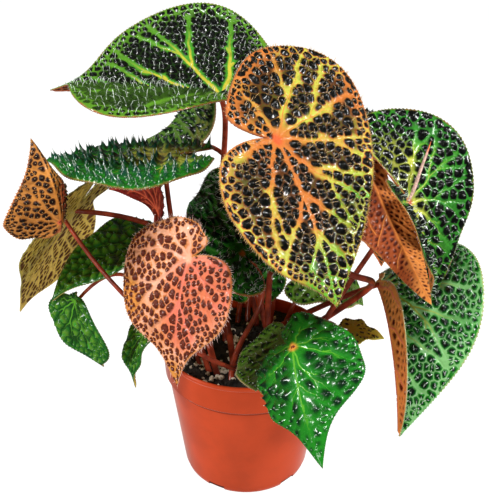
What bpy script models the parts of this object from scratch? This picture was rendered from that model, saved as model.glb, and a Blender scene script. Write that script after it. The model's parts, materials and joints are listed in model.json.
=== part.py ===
"""Potted begonia with bullate leaves: plastic nursery pot, potting soil, a blade and a stalk per leaf.

The pot stands on the origin with its flat base on z = 0. Every leaf blade is drawn flat about the point
where its stalk meets it, with the tip along the local x axis, and is then folded, curled and drooped by
one formula and set in its place. Lengths named in millimetres are turned into metres by MM.
"""
import math
import random
from collections import namedtuple

import bpy
import bmesh
from mathutils import Matrix, Vector
from mathutils.bvhtree import BVHTree
from mathutils.geometry import delaunay_2d_cdt

MM = 0.001

# Pot: a 12 cm nursery pot with a stepped rim band and notches in the foot for drainage.
POT_HEIGHT = 105.0
POT_RIM_RADIUS = 60.0
POT_BAND_RADIUS = 58.3
POT_BAND_HEIGHT = 22.0
POT_BODY_TOP_RADIUS = 56.2
POT_FOOT_RADIUS = 45.0
POT_WALL = 1.6
POT_FLOOR = 2.2
POT_SIDES = 36
NOTCH_COUNT = 5
NOTCH_WIDTH = 12.0
NOTCH_HEIGHT = 2.8
NOTCH_FIRST_ANGLE = -119.0

# Soil: a plug that stands clear of the pot's wall, with a lumpy top and perlite grains grown into it.
SOIL_GAP = 0.45
SOIL_TOP = 96.0
SOIL_LUMP = 1.5
SOIL_STEP = 9.0
PERLITE_COUNT = 20
PERLITE_RADIUS = 2.1

# Stalks: bent tubes that stand in plain holes in the soil.
STALK_START = 98.0
STALK_BURIED = 8.0
STALK_SIDES = 6
STALK_RINGS = 7
STALK_TAPER = 0.82
HOLE_GAP = 0.6
FIT_GAP = 0.35

# Blades: bullae stand on every third point of a triangular net, and the net's other points are the veins.
BLADE_THICKNESS = 0.8
BULLA_PITCH = 6.5
BULLA_PITCH_SHARE = 0.105
TOOTH_STEP = 8.0
TOOTH_DEPTH = 0.6
MARGIN_WAVE = 1.1
MIDRIB_ROUND = 3.0
TIGHT_FOLD = 75.0
CLOSED_FOLD = 110.0
TIP_ANGLE = 11.0
NOTCH_DEPTH = 0.8
NOTCH_ANGLE = 13.0

# One entry per leaf. length, base and the stalk's root, rise, reach and stalk radius are in millimetres.
# base is the point where the stalk meets the blade. turn is heading, dip of the tip and roll in degrees.
# droop, fold and curl are degrees: the midrib's bend, each half's lift at the midrib and its further bend.
# shoulder, left and right are outline radii as shares of the length, at the tip and at each quarter of
# the way round to the sinus, and span is the angle from the tip round the left side to the sinus.
# spike is the bullae's height as a share of their pitch. lean is the stalk's slope at the soil, rise and
# reach are how far its bend keeps to its two end directions, and arrive is its slope against the blade.
Leaf = namedtuple("Leaf", "name length base turn droop fold curl shoulder left right span spike "
                          "root lean rise reach arrive stalk")
LEAVES = [
    Leaf("top_left", length=108, base=(-16, 21, 276), turn=(186, -8, 0), droop=7,
         fold=(30, 13), curl=(-65, 37), shoulder=0.74, left=(0.96, 0.38, 0.6), right=(0.8, 0.82, 0.56),
         span=182, spike=0.42, root=(-15, 10), lean=(-0.11, 0.49), rise=95, reach=24,
         arrive=(31, 24), stalk=2.2),
    Leaf("centre_front", length=100, base=(17, -58, 277), turn=(-54, 42, -22), droop=18,
         fold=(20, -5), curl=(3, -37), shoulder=0.76, left=(0.63, 0.8, 0.41), right=(0.8, 0.67, 0.5),
         span=257, spike=0.42, root=(16, -9), lean=(-0.07, 0.51), rise=71, reach=31,
         arrive=(-3, -86), stalk=2.2),
    Leaf("small_top", length=72, base=(-34, 62, 229), turn=(118, 25, -44), droop=-29,
         fold=(13, 22), curl=(-9, 0), shoulder=0.72, left=(0.62, 0.62, 0.59), right=(0.61, 0.62, 0.57),
         span=182, spike=0.42, root=(17, 5), lean=(-0.28, 0.21), rise=70, reach=44,
         arrive=(54, 16), stalk=1.9),
    Leaf("left_mid", length=80, base=(-51, -20, 253), turn=(170, 2, 3), droop=10,
         fold=(8, -2), curl=(-25, -34), shoulder=0.81, left=(0.76, 0.68, 0.47), right=(0.71, 0.62, 0.51),
         span=198, spike=0.42, root=(-26, -28), lean=(-0.31, 0.22), rise=35, reach=75,
         arrive=(2, 0), stalk=1.9),
    Leaf("young_red", length=45, base=(-56, -18, 212), turn=(109, -26, 73), droop=79,
         fold=(14, 8), curl=(3, -26), shoulder=0.69, left=(0.62, 0.66, 0.63), right=(0.63, 0.63, 0.61),
         span=182, spike=0.42, root=(-33, -19), lean=(-0.29, 0.14), rise=70, reach=66,
         arrive=(49, 47), stalk=1.5),
    Leaf("far_left", length=56, base=(-110, -57, 225), turn=(109, -114, 20), droop=73,
         fold=(-19, -46), curl=(-4, -39), shoulder=0.70, left=(0.6, 0.58, 0.43), right=(0.45, 0.55, 0.47),
         span=173, spike=0.42, root=(0, -32), lean=(-1.18, -0.86), rise=73, reach=78,
         arrive=(18, 19), stalk=1.5),
    Leaf("left_olive", length=92, base=(-119, 30, 192), turn=(184, 54, 27), droop=12,
         fold=(-10, 7), curl=(5, -20), shoulder=0.70, left=(0.67, 0.73, 0.6), right=(0.99, 0.35, 0.62),
         span=183, spike=0.42, root=(-9, -22), lean=(-0.15, 1.21), rise=47, reach=77,
         arrive=(29, 30), stalk=2.2),
    Leaf("left_low", length=75, base=(-72, 20, 168), turn=(209, -6, 9), droop=47,
         fold=(11, 19), curl=(-11, -24), shoulder=0.85, left=(0.71, 0.57, 0.6), right=(0.55, 0.62, 0.58),
         span=177, spike=0.42, root=(-37, 10), lean=(-0.52, 0.14), rise=30, reach=14,
         arrive=(26, -11), stalk=1.9),
    Leaf("pink_front", length=80, base=(-33, -78, 212), turn=(-128, 63, 16), droop=26,
         fold=(0, 19), curl=(-27, -35), shoulder=0.63, left=(0.62, 0.58, 0.44), right=(0.78, 0.4, 0.25),
         span=121, spike=0.42, root=(-20, -33), lean=(-0.19, -0.16), rise=41, reach=8,
         arrive=(-17, 31), stalk=2.2),
    Leaf("left_hanging", length=53, base=(-118, -5, 139), turn=(-69, 63, 58), droop=34,
         fold=(29, 12), curl=(-30, -37), shoulder=0.78, left=(0.83, 0.29, 0.15), right=(0.65, 0.5, 0.15),
         span=184, spike=0.42, root=(-34, -5), lean=(-0.52, -0.36), rise=52, reach=57,
         arrive=(46, -43), stalk=1.5),
    Leaf("left_small", length=39, base=(-68, -25, 126), turn=(-133, 42, 24), droop=47,
         fold=(16, 7), curl=(-7, -13), shoulder=0.72, left=(0.63, 0.61, 0.6), right=(0.7, 0.54, 0.6),
         span=180, spike=0.42, root=(-29, 1), lean=(-0.9, -0.11), rise=20, reach=13,
         arrive=(50, 18), stalk=1.5),
    Leaf("centre_dark", length=75, base=(-2, -2, 174), turn=(129, -15, -42), droop=21,
         fold=(49, 47), curl=(4, -17), shoulder=0.77, left=(0.46, 0.61, 0.55), right=(0.79, 0.66, 0.74),
         span=182, spike=0.42, root=(-10, -36), lean=(0.01, 1.1), rise=22, reach=49,
         arrive=(34, 2), stalk=1.9),
    Leaf("front_green", length=71, base=(26, -111, 173), turn=(-89, 20, 33), droop=43,
         fold=(-32, -20), curl=(-44, -40), shoulder=0.60, left=(0.63, 0.55, 0.39), right=(0.62, 0.56, 0.63),
         span=225, spike=0.42, root=(34, -30), lean=(0.5, -0.35), rise=34, reach=66,
         arrive=(1, -12), stalk=1.9),
    Leaf("front_dark", length=60, base=(26, -41, 132), turn=(-109, 3, 18), droop=-6,
         fold=(-3, -15), curl=(-15, 0), shoulder=0.81, left=(0.62, 0.62, 0.5), right=(0.68, 0.61, 0.58),
         span=190, spike=0.42, root=(17, -35), lean=(0.16, -0.27), rise=17, reach=9,
         arrive=(8, 32), stalk=1.5),
    Leaf("right_top", length=77, base=(101, -27, 224), turn=(-29, 57, 20), droop=41,
         fold=(5, 42), curl=(16, 8), shoulder=0.72, left=(0.63, 0.78, 0.81), right=(0.62, 0.62, 0.58),
         span=218, spike=0.42, root=(41, -9), lean=(0.44, -0.09), rise=55, reach=25,
         arrive=(-28, 20), stalk=1.9),
    Leaf("right_folded", length=124, base=(74, -13, 245), turn=(-70, 33, 206), droop=37,
         fold=(24, 38), curl=(2, -25), shoulder=0.30, left=(0.38, 0.48, 0.34), right=(0.14, 0.13, 0.13),
         span=191, spike=0.42, root=(34, 9), lean=(0.95, -0.35), rise=125, reach=148,
         arrive=(-68, -86), stalk=2.2),
    Leaf("right_low", length=116, base=(93, 8, 143), turn=(-87, -5, 2), droop=86,
         fold=(15, 108), curl=(21, -18), shoulder=0.78, left=(0.68, 0.59, 0.54), right=(0.12, 0.09, 0.06),
         span=169, spike=0.36, root=(15, 17), lean=(1.39, -0.15), rise=12, reach=27,
         arrive=(-18, 86), stalk=2.2),
    Leaf("right_olive", length=23, base=(72, -20, 125), turn=(-12, -4, 3), droop=30,
         fold=(1, 2), curl=(-12, -20), shoulder=0.71, left=(0.58, 0.63, 0.57), right=(0.6, 0.68, 0.59),
         span=179, spike=0.42, root=(28, -24), lean=(0.77, 0.3), rise=40, reach=25,
         arrive=(54, 5), stalk=1.5),
    Leaf("back_low", length=52, base=(54, 45, 134), turn=(3, 14, 11), droop=59,
         fold=(8, -6), curl=(-10, -17), shoulder=0.72, left=(0.62, 0.62, 0.6), right=(0.68, 0.56, 0.69),
         span=191, spike=0.42, root=(29, 30), lean=(0.4, 0.23), rise=27, reach=8,
         arrive=(25, 21), stalk=1.5),
    Leaf("back_high", length=90, base=(40, 106, 237), turn=(70, 15, 0), droop=30,
         fold=(12, 8), curl=(-15, -10), shoulder=0.72, left=(0.62, 0.6, 0.5), right=(0.66, 0.7, 0.6),
         span=190, spike=0.42, root=(18, 33), lean=(0.11, 0.18), rise=121, reach=87,
         arrive=(27, 4), stalk=2.2),
    Leaf("back_left", length=72, base=(12, 72, 176), turn=(125, 28, 0), droop=30,
         fold=(12, 8), curl=(-15, -10), shoulder=0.72, left=(0.62, 0.6, 0.5), right=(0.66, 0.7, 0.6),
         span=190, spike=0.42, root=(1, 38), lean=(0.08, 0.38), rise=57, reach=17,
         arrive=(-6, -75), stalk=1.9),
    Leaf("back_right", length=79, base=(79, 138, 127), turn=(35, 32, 0), droop=30,
         fold=(12, 8), curl=(-15, -10), shoulder=0.72, left=(0.62, 0.6, 0.5), right=(0.66, 0.7, 0.6),
         span=190, spike=0.42, root=(-6, 36), lean=(0.14, 0.34), rise=47, reach=85,
         arrive=(43, -11), stalk=1.9),
    Leaf("back_mid", length=38, base=(3, 33, 133), turn=(92, -75, 0), droop=12,
         fold=(8, 8), curl=(-10, -10), shoulder=0.72, left=(0.62, 0.6, 0.5), right=(0.66, 0.7, 0.6),
         span=190, spike=0.42, root=(8, 31), lean=(0, 0.25), rise=10, reach=14,
         arrive=(60, 0), stalk=1.9),
]


def clear_scene():
    for item in list(bpy.data.objects):
        bpy.data.objects.remove(item, do_unlink=True)


def plain_material(name, colour, roughness):
    material = bpy.data.materials.new(name)
    material.use_nodes = True
    shader = material.node_tree.nodes["Principled BSDF"]
    shader.inputs["Base Color"].default_value = (colour[0], colour[1], colour[2], 1.0)
    shader.inputs["Roughness"].default_value = roughness
    return material


def add_part(name, points, faces, material):
    """Makes one object from points in millimetres."""
    mesh = bpy.data.meshes.new(name)
    mesh.from_pydata([tuple(c * MM for c in p) for p in points], [], faces)
    mesh.materials.append(material)
    part = bpy.data.objects.new(name, mesh)
    bpy.context.collection.objects.link(part)
    return part


def face_outward(part):
    """Welds loose ends and turns every face outward."""
    work = bmesh.new()
    work.from_mesh(part.data)
    bmesh.ops.recalc_face_normals(work, faces=work.faces)
    work.to_mesh(part.data)
    work.free()


def cut_or_join(part, other, operation):
    """Applies one exact Boolean and removes the helper object."""
    modifier = part.modifiers.new("boolean", "BOOLEAN")
    modifier.operation = operation
    modifier.solver = "EXACT"
    modifier.object = other
    graph = bpy.context.evaluated_depsgraph_get()
    mesh = bpy.data.meshes.new_from_object(part.evaluated_get(graph))
    part.modifiers.remove(modifier)
    old = part.data
    part.data = mesh
    mesh.name = part.name
    bpy.data.meshes.remove(old)
    bpy.data.objects.remove(other, do_unlink=True)


def revolve(profile, sides):
    """Points and faces of a solid of revolution whose profile starts and ends on the axis."""
    points = [(0.0, 0.0, profile[0][1])]
    for radius, height in profile[1:-1]:
        for i in range(sides):
            angle = 2.0 * math.pi * i / sides
            points.append((radius * math.cos(angle), radius * math.sin(angle), height))
    points.append((0.0, 0.0, profile[-1][1]))
    last = len(points) - 1
    rings = len(profile) - 2
    faces = []
    for i in range(sides):
        j = (i + 1) % sides
        faces.append((0, 1 + j, 1 + i))
        for ring in range(rings - 1):
            low = 1 + ring * sides
            high = low + sides
            faces.append((low + i, low + j, high + j, high + i))
        top = 1 + (rings - 1) * sides
        faces.append((top + i, top + j, last))
    return points, faces


def build_pot():
    """Tapered pot with a stepped rim band, a rolled lip, a foot ring and drainage notches."""
    band_low = POT_HEIGHT - POT_BAND_HEIGHT
    foot = POT_FOOT_RADIUS
    profile = [
        (0.0, 0.0),
        (foot - 2.6, 0.0),
        (foot - 0.6, 1.2),
        (foot, 4.2),
        (foot + 0.9, 5.4),
        (POT_BODY_TOP_RADIUS, band_low - 1.0),
        (POT_BAND_RADIUS, band_low),
        (POT_RIM_RADIUS - 0.5, POT_HEIGHT - 2.4),
        (POT_RIM_RADIUS, POT_HEIGHT - 1.4),
        (POT_RIM_RADIUS - 0.4, POT_HEIGHT),
        (POT_RIM_RADIUS - 1.8, POT_HEIGHT),
        (POT_RIM_RADIUS - 2.4, POT_HEIGHT - 1.6),
        (POT_BAND_RADIUS - POT_WALL, band_low + 1.6),
        (POT_BODY_TOP_RADIUS - POT_WALL, band_low - 0.8),
        (foot - POT_WALL, POT_FLOOR + 1.6),
        (foot - POT_WALL - 1.4, POT_FLOOR),
        (0.0, POT_FLOOR),
    ]
    points, faces = revolve(profile, POT_SIDES)
    pot = add_part("pot", points, faces, plain_material("pot_plastic", (0.62, 0.14, 0.045), 0.45))
    face_outward(pot)
    for i in range(NOTCH_COUNT):
        cut_or_join(pot, notch_cutter(NOTCH_FIRST_ANGLE + 360.0 * i / NOTCH_COUNT), "DIFFERENCE")
    return pot


def notch_cutter(degrees):
    """A box across the foot of the wall, shown as wire and hidden from renders."""
    turn = Matrix.Rotation(math.radians(degrees), 4, "Z")
    low, high = POT_FOOT_RADIUS - 6.0, POT_FOOT_RADIUS + 6.0
    half = NOTCH_WIDTH / 2.0
    corners = [(x, y, z) for x in (low, high) for y in (-half, half) for z in (-3.0, NOTCH_HEIGHT)]
    points = [tuple(turn @ Vector(c)) for c in corners]
    faces = [(0, 1, 3, 2), (4, 6, 7, 5), (0, 4, 5, 1), (2, 3, 7, 6), (0, 2, 6, 4), (1, 5, 7, 3)]
    cutter = add_part("notch_cutter", points, faces, bpy.data.materials["pot_plastic"])
    face_outward(cutter)
    cutter.hide_render = True
    cutter.display_type = "WIRE"
    return cutter


def outline_radius(leaf, angle):
    """Outline radius about the stalk's point as a share of the length, angle in radians."""
    left_span = math.radians(leaf.span)
    span = left_span if angle >= 0.0 else 2.0 * math.pi - left_span
    side = leaf.left if angle >= 0.0 else leaf.right
    knots = [leaf.shoulder, side[0], side[1], side[2], 0.8 * side[2]]
    slopes = [4.0 * (knots[1] - knots[0])]
    slopes += [2.0 * (knots[i + 1] - knots[i - 1]) for i in (1, 2, 3)]
    slopes.append(4.0 * (knots[4] - knots[3]))
    turn = abs(angle)
    part = min(max(turn / span, 0.0), 1.0) * 4.0
    i = min(int(part), 3)
    u = part - i
    radius = (2 * u**3 - 3 * u**2 + 1) * knots[i] + (u**3 - 2 * u**2 + u) * 0.25 * slopes[i]
    radius += (3 * u**2 - 2 * u**3) * knots[i + 1] + (u**3 - u**2) * 0.25 * slopes[i + 1]
    radius += (1.0 - leaf.shoulder) * math.exp(-turn / math.radians(TIP_ANGLE))
    radius *= 1.0 - NOTCH_DEPTH * math.exp(-((span - turn) / math.radians(NOTCH_ANGLE)) ** 2)
    return radius


def arc(start, rate, reach):
    """Where a walk of the given reach ends when its slope starts at start and grows by rate."""
    if abs(rate) < 1e-5:
        rate = 1e-5
    end = start + rate * reach
    return (math.sin(end) - math.sin(start)) / rate, (math.cos(start) - math.cos(end)) / rate, end


def leaf_axes(leaf):
    heading, dip, roll = (math.radians(a) for a in leaf.turn)
    return Matrix.Rotation(heading, 3, "Z") @ Matrix.Rotation(dip, 3, "Y") @ Matrix.Rotation(roll, 3, "X")


def blade_point(leaf, along, across, height):
    """Folds, curls, droops and places one point of the flat blade; all lengths are millimetres."""
    i = 0 if across >= 0.0 else 1
    side = 1.0 if across >= 0.0 else -1.0
    fold = math.radians(leaf.fold[i])
    curl = math.radians(leaf.curl[i]) / leaf.length
    out, up, slope = arc(fold, curl, abs(across))
    middle = math.radians(leaf.fold[0] - leaf.fold[1]) / 2.0
    share = min(abs(across) / MIDRIB_ROUND, 1.0)
    tilt = share * side * slope + (1.0 - share) * middle
    lift = height * (share + (1.0 - share) / max(0.6, math.cos(math.radians(sum(leaf.fold)) / 2.0)))
    y = side * out - lift * math.sin(tilt)
    z = up + lift * math.cos(tilt)
    rate = math.radians(leaf.droop) / leaf.length
    forward, down, bend = arc(0.0, rate, along)
    x = forward + z * math.sin(bend)
    z = z * math.cos(bend) - down
    return leaf_axes(leaf) @ Vector((x, y, z)) + Vector(leaf.base)


def margin_loop(leaf):
    """Toothed outline of the flat blade, walked from one side of the sinus round the tip to the other."""
    left_span = math.radians(leaf.span)
    start, stop = left_span - 2.0 * math.pi + 0.001, left_span - 0.001
    fine = []
    for i in range(1201):
        angle = start + (stop - start) * i / 1200.0
        radius = leaf.length * outline_radius(leaf, angle)
        fine.append((radius * math.cos(angle), radius * math.sin(angle), angle))
    tip = min(range(len(fine)), key=lambda i: abs(fine[i][2]))
    loop = even_steps(fine[: tip + 1])[:-1] + even_steps(fine[tip:])
    toothed = []
    for i, (x, y, angle) in enumerate(loop):
        ends = i < 2 or i > len(loop) - 3 or abs(angle) < 0.16
        depth = 0.0 if ends else TOOTH_DEPTH * (1.0 if i % 2 else -1.0)
        reach = math.hypot(x, y)
        toothed.append((x * (reach + depth) / reach, y * (reach + depth) / reach))
    return toothed


def even_steps(line):
    """Picks points of a fine line at even walking distance, keeping both ends."""
    walk = [0.0]
    for a, b in zip(line, line[1:]):
        walk.append(walk[-1] + math.hypot(b[0] - a[0], b[1] - a[1]))
    count = max(4, round(walk[-1] / TOOTH_STEP))
    picked = []
    i = 0
    for n in range(count + 1):
        goal = walk[-1] * n / count
        while i < len(walk) - 1 and walk[i] < goal - 1e-9:
            i += 1
        picked.append(line[i])
    return picked


def distance_to_loop(x, y, loop):
    best = 1e9
    for (ax, ay), (bx, by) in zip(loop, loop[1:] + loop[:1]):
        dx, dy = bx - ax, by - ay
        share = ((x - ax) * dx + (y - ay) * dy) / (dx * dx + dy * dy)
        share = min(max(share, 0.0), 1.0)
        best = min(best, math.hypot(x - ax - share * dx, y - ay - share * dy))
    return best


def side_angle(leaf, x, y):
    """Angle of a flat point, counted the short way round from the tip without crossing the sinus."""
    angle = math.atan2(y, x)
    left_span = math.radians(leaf.span)
    if angle > left_span:
        angle -= 2.0 * math.pi
    if angle < left_span - 2.0 * math.pi:
        angle += 2.0 * math.pi
    return angle


def net_points(leaf, loop):
    """Triangular net inside the outline; each point carries its bulla height, zero on the veins."""
    pitch = BULLA_PITCH + BULLA_PITCH_SHARE * leaf.length
    step = pitch / math.sqrt(3.0)
    count = int(1.3 * leaf.length / step) + 2
    inner = []
    for i in range(-count, count + 1):
        for j in range(-count, count + 1):
            x = step * (i + 0.5 * j)
            y = step * math.sqrt(0.75) * j
            reach = math.hypot(x, y)
            if reach > leaf.length * outline_radius(leaf, side_angle(leaf, x, y)):
                continue
            edge = distance_to_loop(x, y, loop)
            if edge < 0.5 * step:
                continue
            bulla = (i - j) % 3 == 1 and j != 0
            height = leaf.spike * pitch if bulla else 0.0
            if abs(j) == 1 and sum(leaf.fold) > TIGHT_FOLD:
                height *= 0.6
            if sum(leaf.fold) > CLOSED_FOLD and j < 4:
                height *= 0.4
            height *= min(1.0, 0.35 + 0.5 * edge / pitch)
            inner.append((x, y, height))
    return inner


def build_blade(leaf, material):
    """Blade of even thickness with hollow bullae, the same triangles on the upper and lower face."""
    loop = margin_loop(leaf)
    inner = net_points(leaf, loop)
    flat = [Vector(p) for p in loop] + [Vector(p[:2]) for p in inner]
    heights = [0.0] * len(loop) + [p[2] for p in inner]
    outer = [list(range(len(loop)))]
    points, _, triangles, sources, _, _ = delaunay_2d_cdt(flat, [], outer, 1, 0.01)
    raised = [heights[s[0]] if s else 0.0 for s in sources]
    upper, lower = [], []
    for point, bulla in zip(points, raised):
        share = point.length / (leaf.length * outline_radius(leaf, side_angle(leaf, point.x, point.y)))
        wave = MARGIN_WAVE * share**6 * math.sin(7.0 * math.atan2(point.y, point.x))
        half = BLADE_THICKNESS / 2.0
        upper.append(blade_point(leaf, point.x, point.y, bulla + wave + half))
        lower.append(blade_point(leaf, point.x, point.y, bulla + wave - half))
    count = len(points)
    faces = [tuple(t) for t in triangles]
    rim = open_edges(faces)
    faces += [tuple(count + i for i in reversed(t)) for t in triangles]
    for a, b in rim:
        faces += [(b, a, count + a), (b, count + a, count + b)]
    blade = add_part("blade_" + leaf.name, upper + lower, faces, material)
    face_outward(blade)
    return blade


def open_edges(triangles):
    """Edges that only one triangle uses, in that triangle's walking order."""
    seen = {}
    for a, b, c in triangles:
        for edge in ((a, b), (b, c), (c, a)):
            seen[edge] = True
    return [edge for edge in seen if (edge[1], edge[0]) not in seen]


def stalk_end(leaf, drop):
    """Where the stalk stops below the blade, and the direction in which it arrives there."""
    axes = leaf_axes(leaf)
    normal, forward, aside = axes.col[2], axes.col[0], axes.col[1]
    tilt, swing = (math.radians(a) for a in leaf.arrive)
    direction = normal * math.cos(tilt) * math.cos(swing)
    direction += forward * math.sin(tilt) + aside * math.sin(swing)
    return Vector(leaf.base) - normal * drop, direction.normalized()


def stalk_start(leaf):
    """Where the stalk leaves the soil and its direction there."""
    start = Vector((leaf.root[0], leaf.root[1], STALK_START))
    return start, Vector((leaf.lean[0], leaf.lean[1], 1.0))


def stalk_line(leaf, rings, drop):
    """Centre line of the stalk, from its buried foot to its end below the blade."""
    start, slope = stalk_start(leaf)
    end, direction = stalk_end(leaf, drop)
    first = start + slope * leaf.rise
    second = end - direction * leaf.reach
    line = [start - slope.normalized() * STALK_BURIED]
    for i in range(rings):
        t = i / (rings - 1)
        line.append(start * (1 - t) ** 3 + first * 3 * t * (1 - t) ** 2
                    + second * 3 * t * t * (1 - t) + end * t**3)
    return line


def tube(line, radii, sides):
    """Points and faces of a closed tube along a line, turned along it without twist."""
    points, faces = [], []
    ahead = (line[1] - line[0]).normalized()
    aside = ahead.orthogonal().normalized()
    for i, centre in enumerate(line):
        before = (centre - line[i - 1]).normalized() if i else ahead
        after = (line[i + 1] - centre).normalized() if i < len(line) - 1 else before
        ahead = (before + after).normalized()
        aside = (aside - ahead * aside.dot(ahead)).normalized()
        other = ahead.cross(aside)
        for n in range(sides):
            angle = 2.0 * math.pi * n / sides
            points.append(centre + (aside * math.cos(angle) + other * math.sin(angle)) * radii[i])
    for i in range(len(line) - 1):
        for n in range(sides):
            m = (n + 1) % sides
            faces.append((i * sides + n, i * sides + m, (i + 1) * sides + m, (i + 1) * sides + n))
    faces.append(tuple(reversed(range(sides))))
    faces.append(tuple((len(line) - 1) * sides + n for n in range(sides)))
    return points, faces


def gap_between(points, faces, blade_points, blade_faces):
    """Shortest way between a stalk and its blade in millimetres, zero where they meet."""
    blade = BVHTree.FromPolygons(blade_points, blade_faces)
    stalk = BVHTree.FromPolygons(points, faces)
    if blade.overlap(stalk):
        return 0.0
    gap = min(blade.find_nearest(point)[3] for point in points)
    for point in blade_points:
        near = stalk.find_nearest(point, 12.0)
        if near[3] is not None:
            gap = min(gap, near[3])
    return gap


def build_stalk(leaf, blade, material):
    """Tapered stalk whose upper end is brought up to the fit gap below its own blade."""
    blade_points = [v.co / MM for v in blade.data.vertices]
    blade_faces = [tuple(p.vertices) for p in blade.data.polygons]
    radii = [leaf.stalk * (1.0 + (STALK_TAPER - 1.0) * i / STALK_RINGS) for i in range(STALK_RINGS + 1)]
    drop = 0.5
    for _ in range(30):
        points, faces = tube(stalk_line(leaf, STALK_RINGS, drop), radii, STALK_SIDES)
        gap = gap_between(points, faces, blade_points, blade_faces)
        if gap > 0.0 and abs(gap - FIT_GAP) < 0.04:
            break
        drop += 0.3 if gap == 0.0 else 0.6 * (FIT_GAP - gap)
    stalk = add_part("stalk_" + leaf.name, points, faces, material)
    face_outward(stalk)
    return stalk


def soil_height(x, y, dice):
    lump = math.sin(0.33 * x + 0.8) * math.sin(0.29 * y - 0.4) + 0.6 * math.sin(0.51 * x - 0.37 * y)
    return SOIL_TOP + SOIL_LUMP * (0.45 * lump + dice.uniform(-0.5, 0.5))


def build_soil():
    """Soil plug with a lumpy top, perlite grains grown into it and one plain hole per stalk."""
    dice = random.Random(11)
    band_low = POT_HEIGHT - POT_BAND_HEIGHT
    gap = POT_WALL + SOIL_GAP
    rings = [
        (POT_FOOT_RADIUS - gap - 1.6, POT_FLOOR + SOIL_GAP),
        (POT_FOOT_RADIUS - gap - 0.2, POT_FLOOR + 2.4),
        (POT_BODY_TOP_RADIUS - gap - 0.2, band_low - 1.6),
        (POT_BAND_RADIUS - gap - 0.1, band_low + 2.6),
        (POT_BAND_RADIUS - gap - 0.1, SOIL_TOP),
    ]
    sides = 36
    top_radius = rings[-1][0]
    flat = []
    for i in range(sides):
        angle = 2.0 * math.pi * i / sides
        flat.append(Vector((top_radius * math.cos(angle), top_radius * math.sin(angle))))
    count = int(top_radius / SOIL_STEP) + 2
    for i in range(-count, count + 1):
        for j in range(-count, count + 1):
            x = SOIL_STEP * (i + 0.5 * (j % 2)) + dice.uniform(-1.2, 1.2)
            y = SOIL_STEP * 0.87 * j + dice.uniform(-1.2, 1.2)
            if math.hypot(x, y) < top_radius - 3.0:
                flat.append(Vector((x, y)))
    spots, _, triangles, _, _, _ = delaunay_2d_cdt(flat, [], [list(range(sides))], 1, 0.01)
    points = []
    for i, spot in enumerate(spots):
        height = SOIL_TOP if i < sides else soil_height(spot.x, spot.y, dice)
        points.append((spot.x, spot.y, height))
    faces = [tuple(t) for t in triangles]
    above = list(range(sides))
    for radius, height in reversed(rings[:-1]):
        ring = []
        for i in range(sides):
            angle = 2.0 * math.pi * i / sides
            ring.append(len(points))
            points.append((radius * math.cos(angle), radius * math.sin(angle), height))
        for i in range(sides):
            j = (i + 1) % sides
            faces.append((above[i], ring[i], ring[j], above[j]))
        above = ring
    faces.append(tuple(reversed(above)))
    soil = add_part("soil", points, faces, plain_material("potting_soil", (0.03, 0.02, 0.014), 0.95))
    face_outward(soil)
    cut_or_join(soil, perlite_grains(dice), "UNION")
    cut_or_join(soil, stalk_holes(), "DIFFERENCE")
    return soil


def perlite_grains(dice):
    """Small rough grains on the soil's top, clear of one another and of the stalks."""
    work = bmesh.new()
    placed = [leaf.root for leaf in LEAVES]
    made = 0
    tries = 0
    while made < PERLITE_COUNT and tries < 4000:
        tries += 1
        x, y = dice.uniform(-50.0, 50.0), dice.uniform(-50.0, 50.0)
        size = PERLITE_RADIUS * dice.uniform(0.75, 1.3)
        if math.hypot(x, y) > 50.0 or min(math.hypot(x - p[0], y - p[1]) for p in placed) < 7.5:
            continue
        placed.append((x, y))
        made += 1
        spin = Matrix.Rotation(dice.uniform(0.0, 6.28), 4, (0.3, 0.5, 0.8))
        stretch = Matrix.Diagonal((1.0, dice.uniform(0.7, 1.0), dice.uniform(0.7, 1.0), 1.0))
        where = Matrix.Translation((x * MM, y * MM, (SOIL_TOP + 0.4) * MM))
        bmesh.ops.create_icosphere(work, subdivisions=1, radius=size * MM, matrix=where @ spin @ stretch)
    mesh = bpy.data.meshes.new("perlite_grains")
    work.to_mesh(mesh)
    work.free()
    grains = bpy.data.objects.new("perlite_grains", mesh)
    bpy.context.collection.objects.link(grains)
    return grains


def stalk_holes():
    """One round cutter per stalk, along the stalk's own direction at the soil."""
    points, faces = [], []
    for leaf in LEAVES:
        start, slope = stalk_start(leaf)
        slope.normalize()
        line = [start - slope * (STALK_BURIED + HOLE_GAP), start + slope * 9.0]
        radius = leaf.stalk + HOLE_GAP
        ring, sides = tube(line, [radius, radius], 8)
        faces += [tuple(len(points) + i for i in face) for face in sides]
        points += ring
    holes = add_part("stalk_holes", points, faces, bpy.data.materials["potting_soil"])
    face_outward(holes)
    holes.hide_render = True
    holes.display_type = "WIRE"
    return holes


def build_leaves():
    for leaf in LEAVES:
        blade = plain_material("blade_" + leaf.name, (0.10, 0.26, 0.07), 0.4)
        stalk = plain_material("stalk_" + leaf.name, (0.38, 0.10, 0.07), 0.45)
        build_stalk(leaf, build_blade(leaf, blade), stalk)


def main():
    clear_scene()
    build_pot()
    build_soil()
    build_leaves()


main()
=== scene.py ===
"""Looks of the potted begonia, laid out as an add-on and run as a script.

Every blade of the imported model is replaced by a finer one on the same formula, with its bullae, veins,
bristles and toothed edge. The pot, the soil and the stalks are modelled anew over their CAD nodes.
Lengths named in millimetres are turned into metres by MM.
"""
import json
import math
from collections import namedtuple

import bpy
import numpy as np
from bpy.props import FloatProperty, FloatVectorProperty, IntProperty, PointerProperty
from mathutils import Matrix, Vector
from mathutils.geometry import delaunay_2d_cdt
from mathutils.noise import noise

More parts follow.
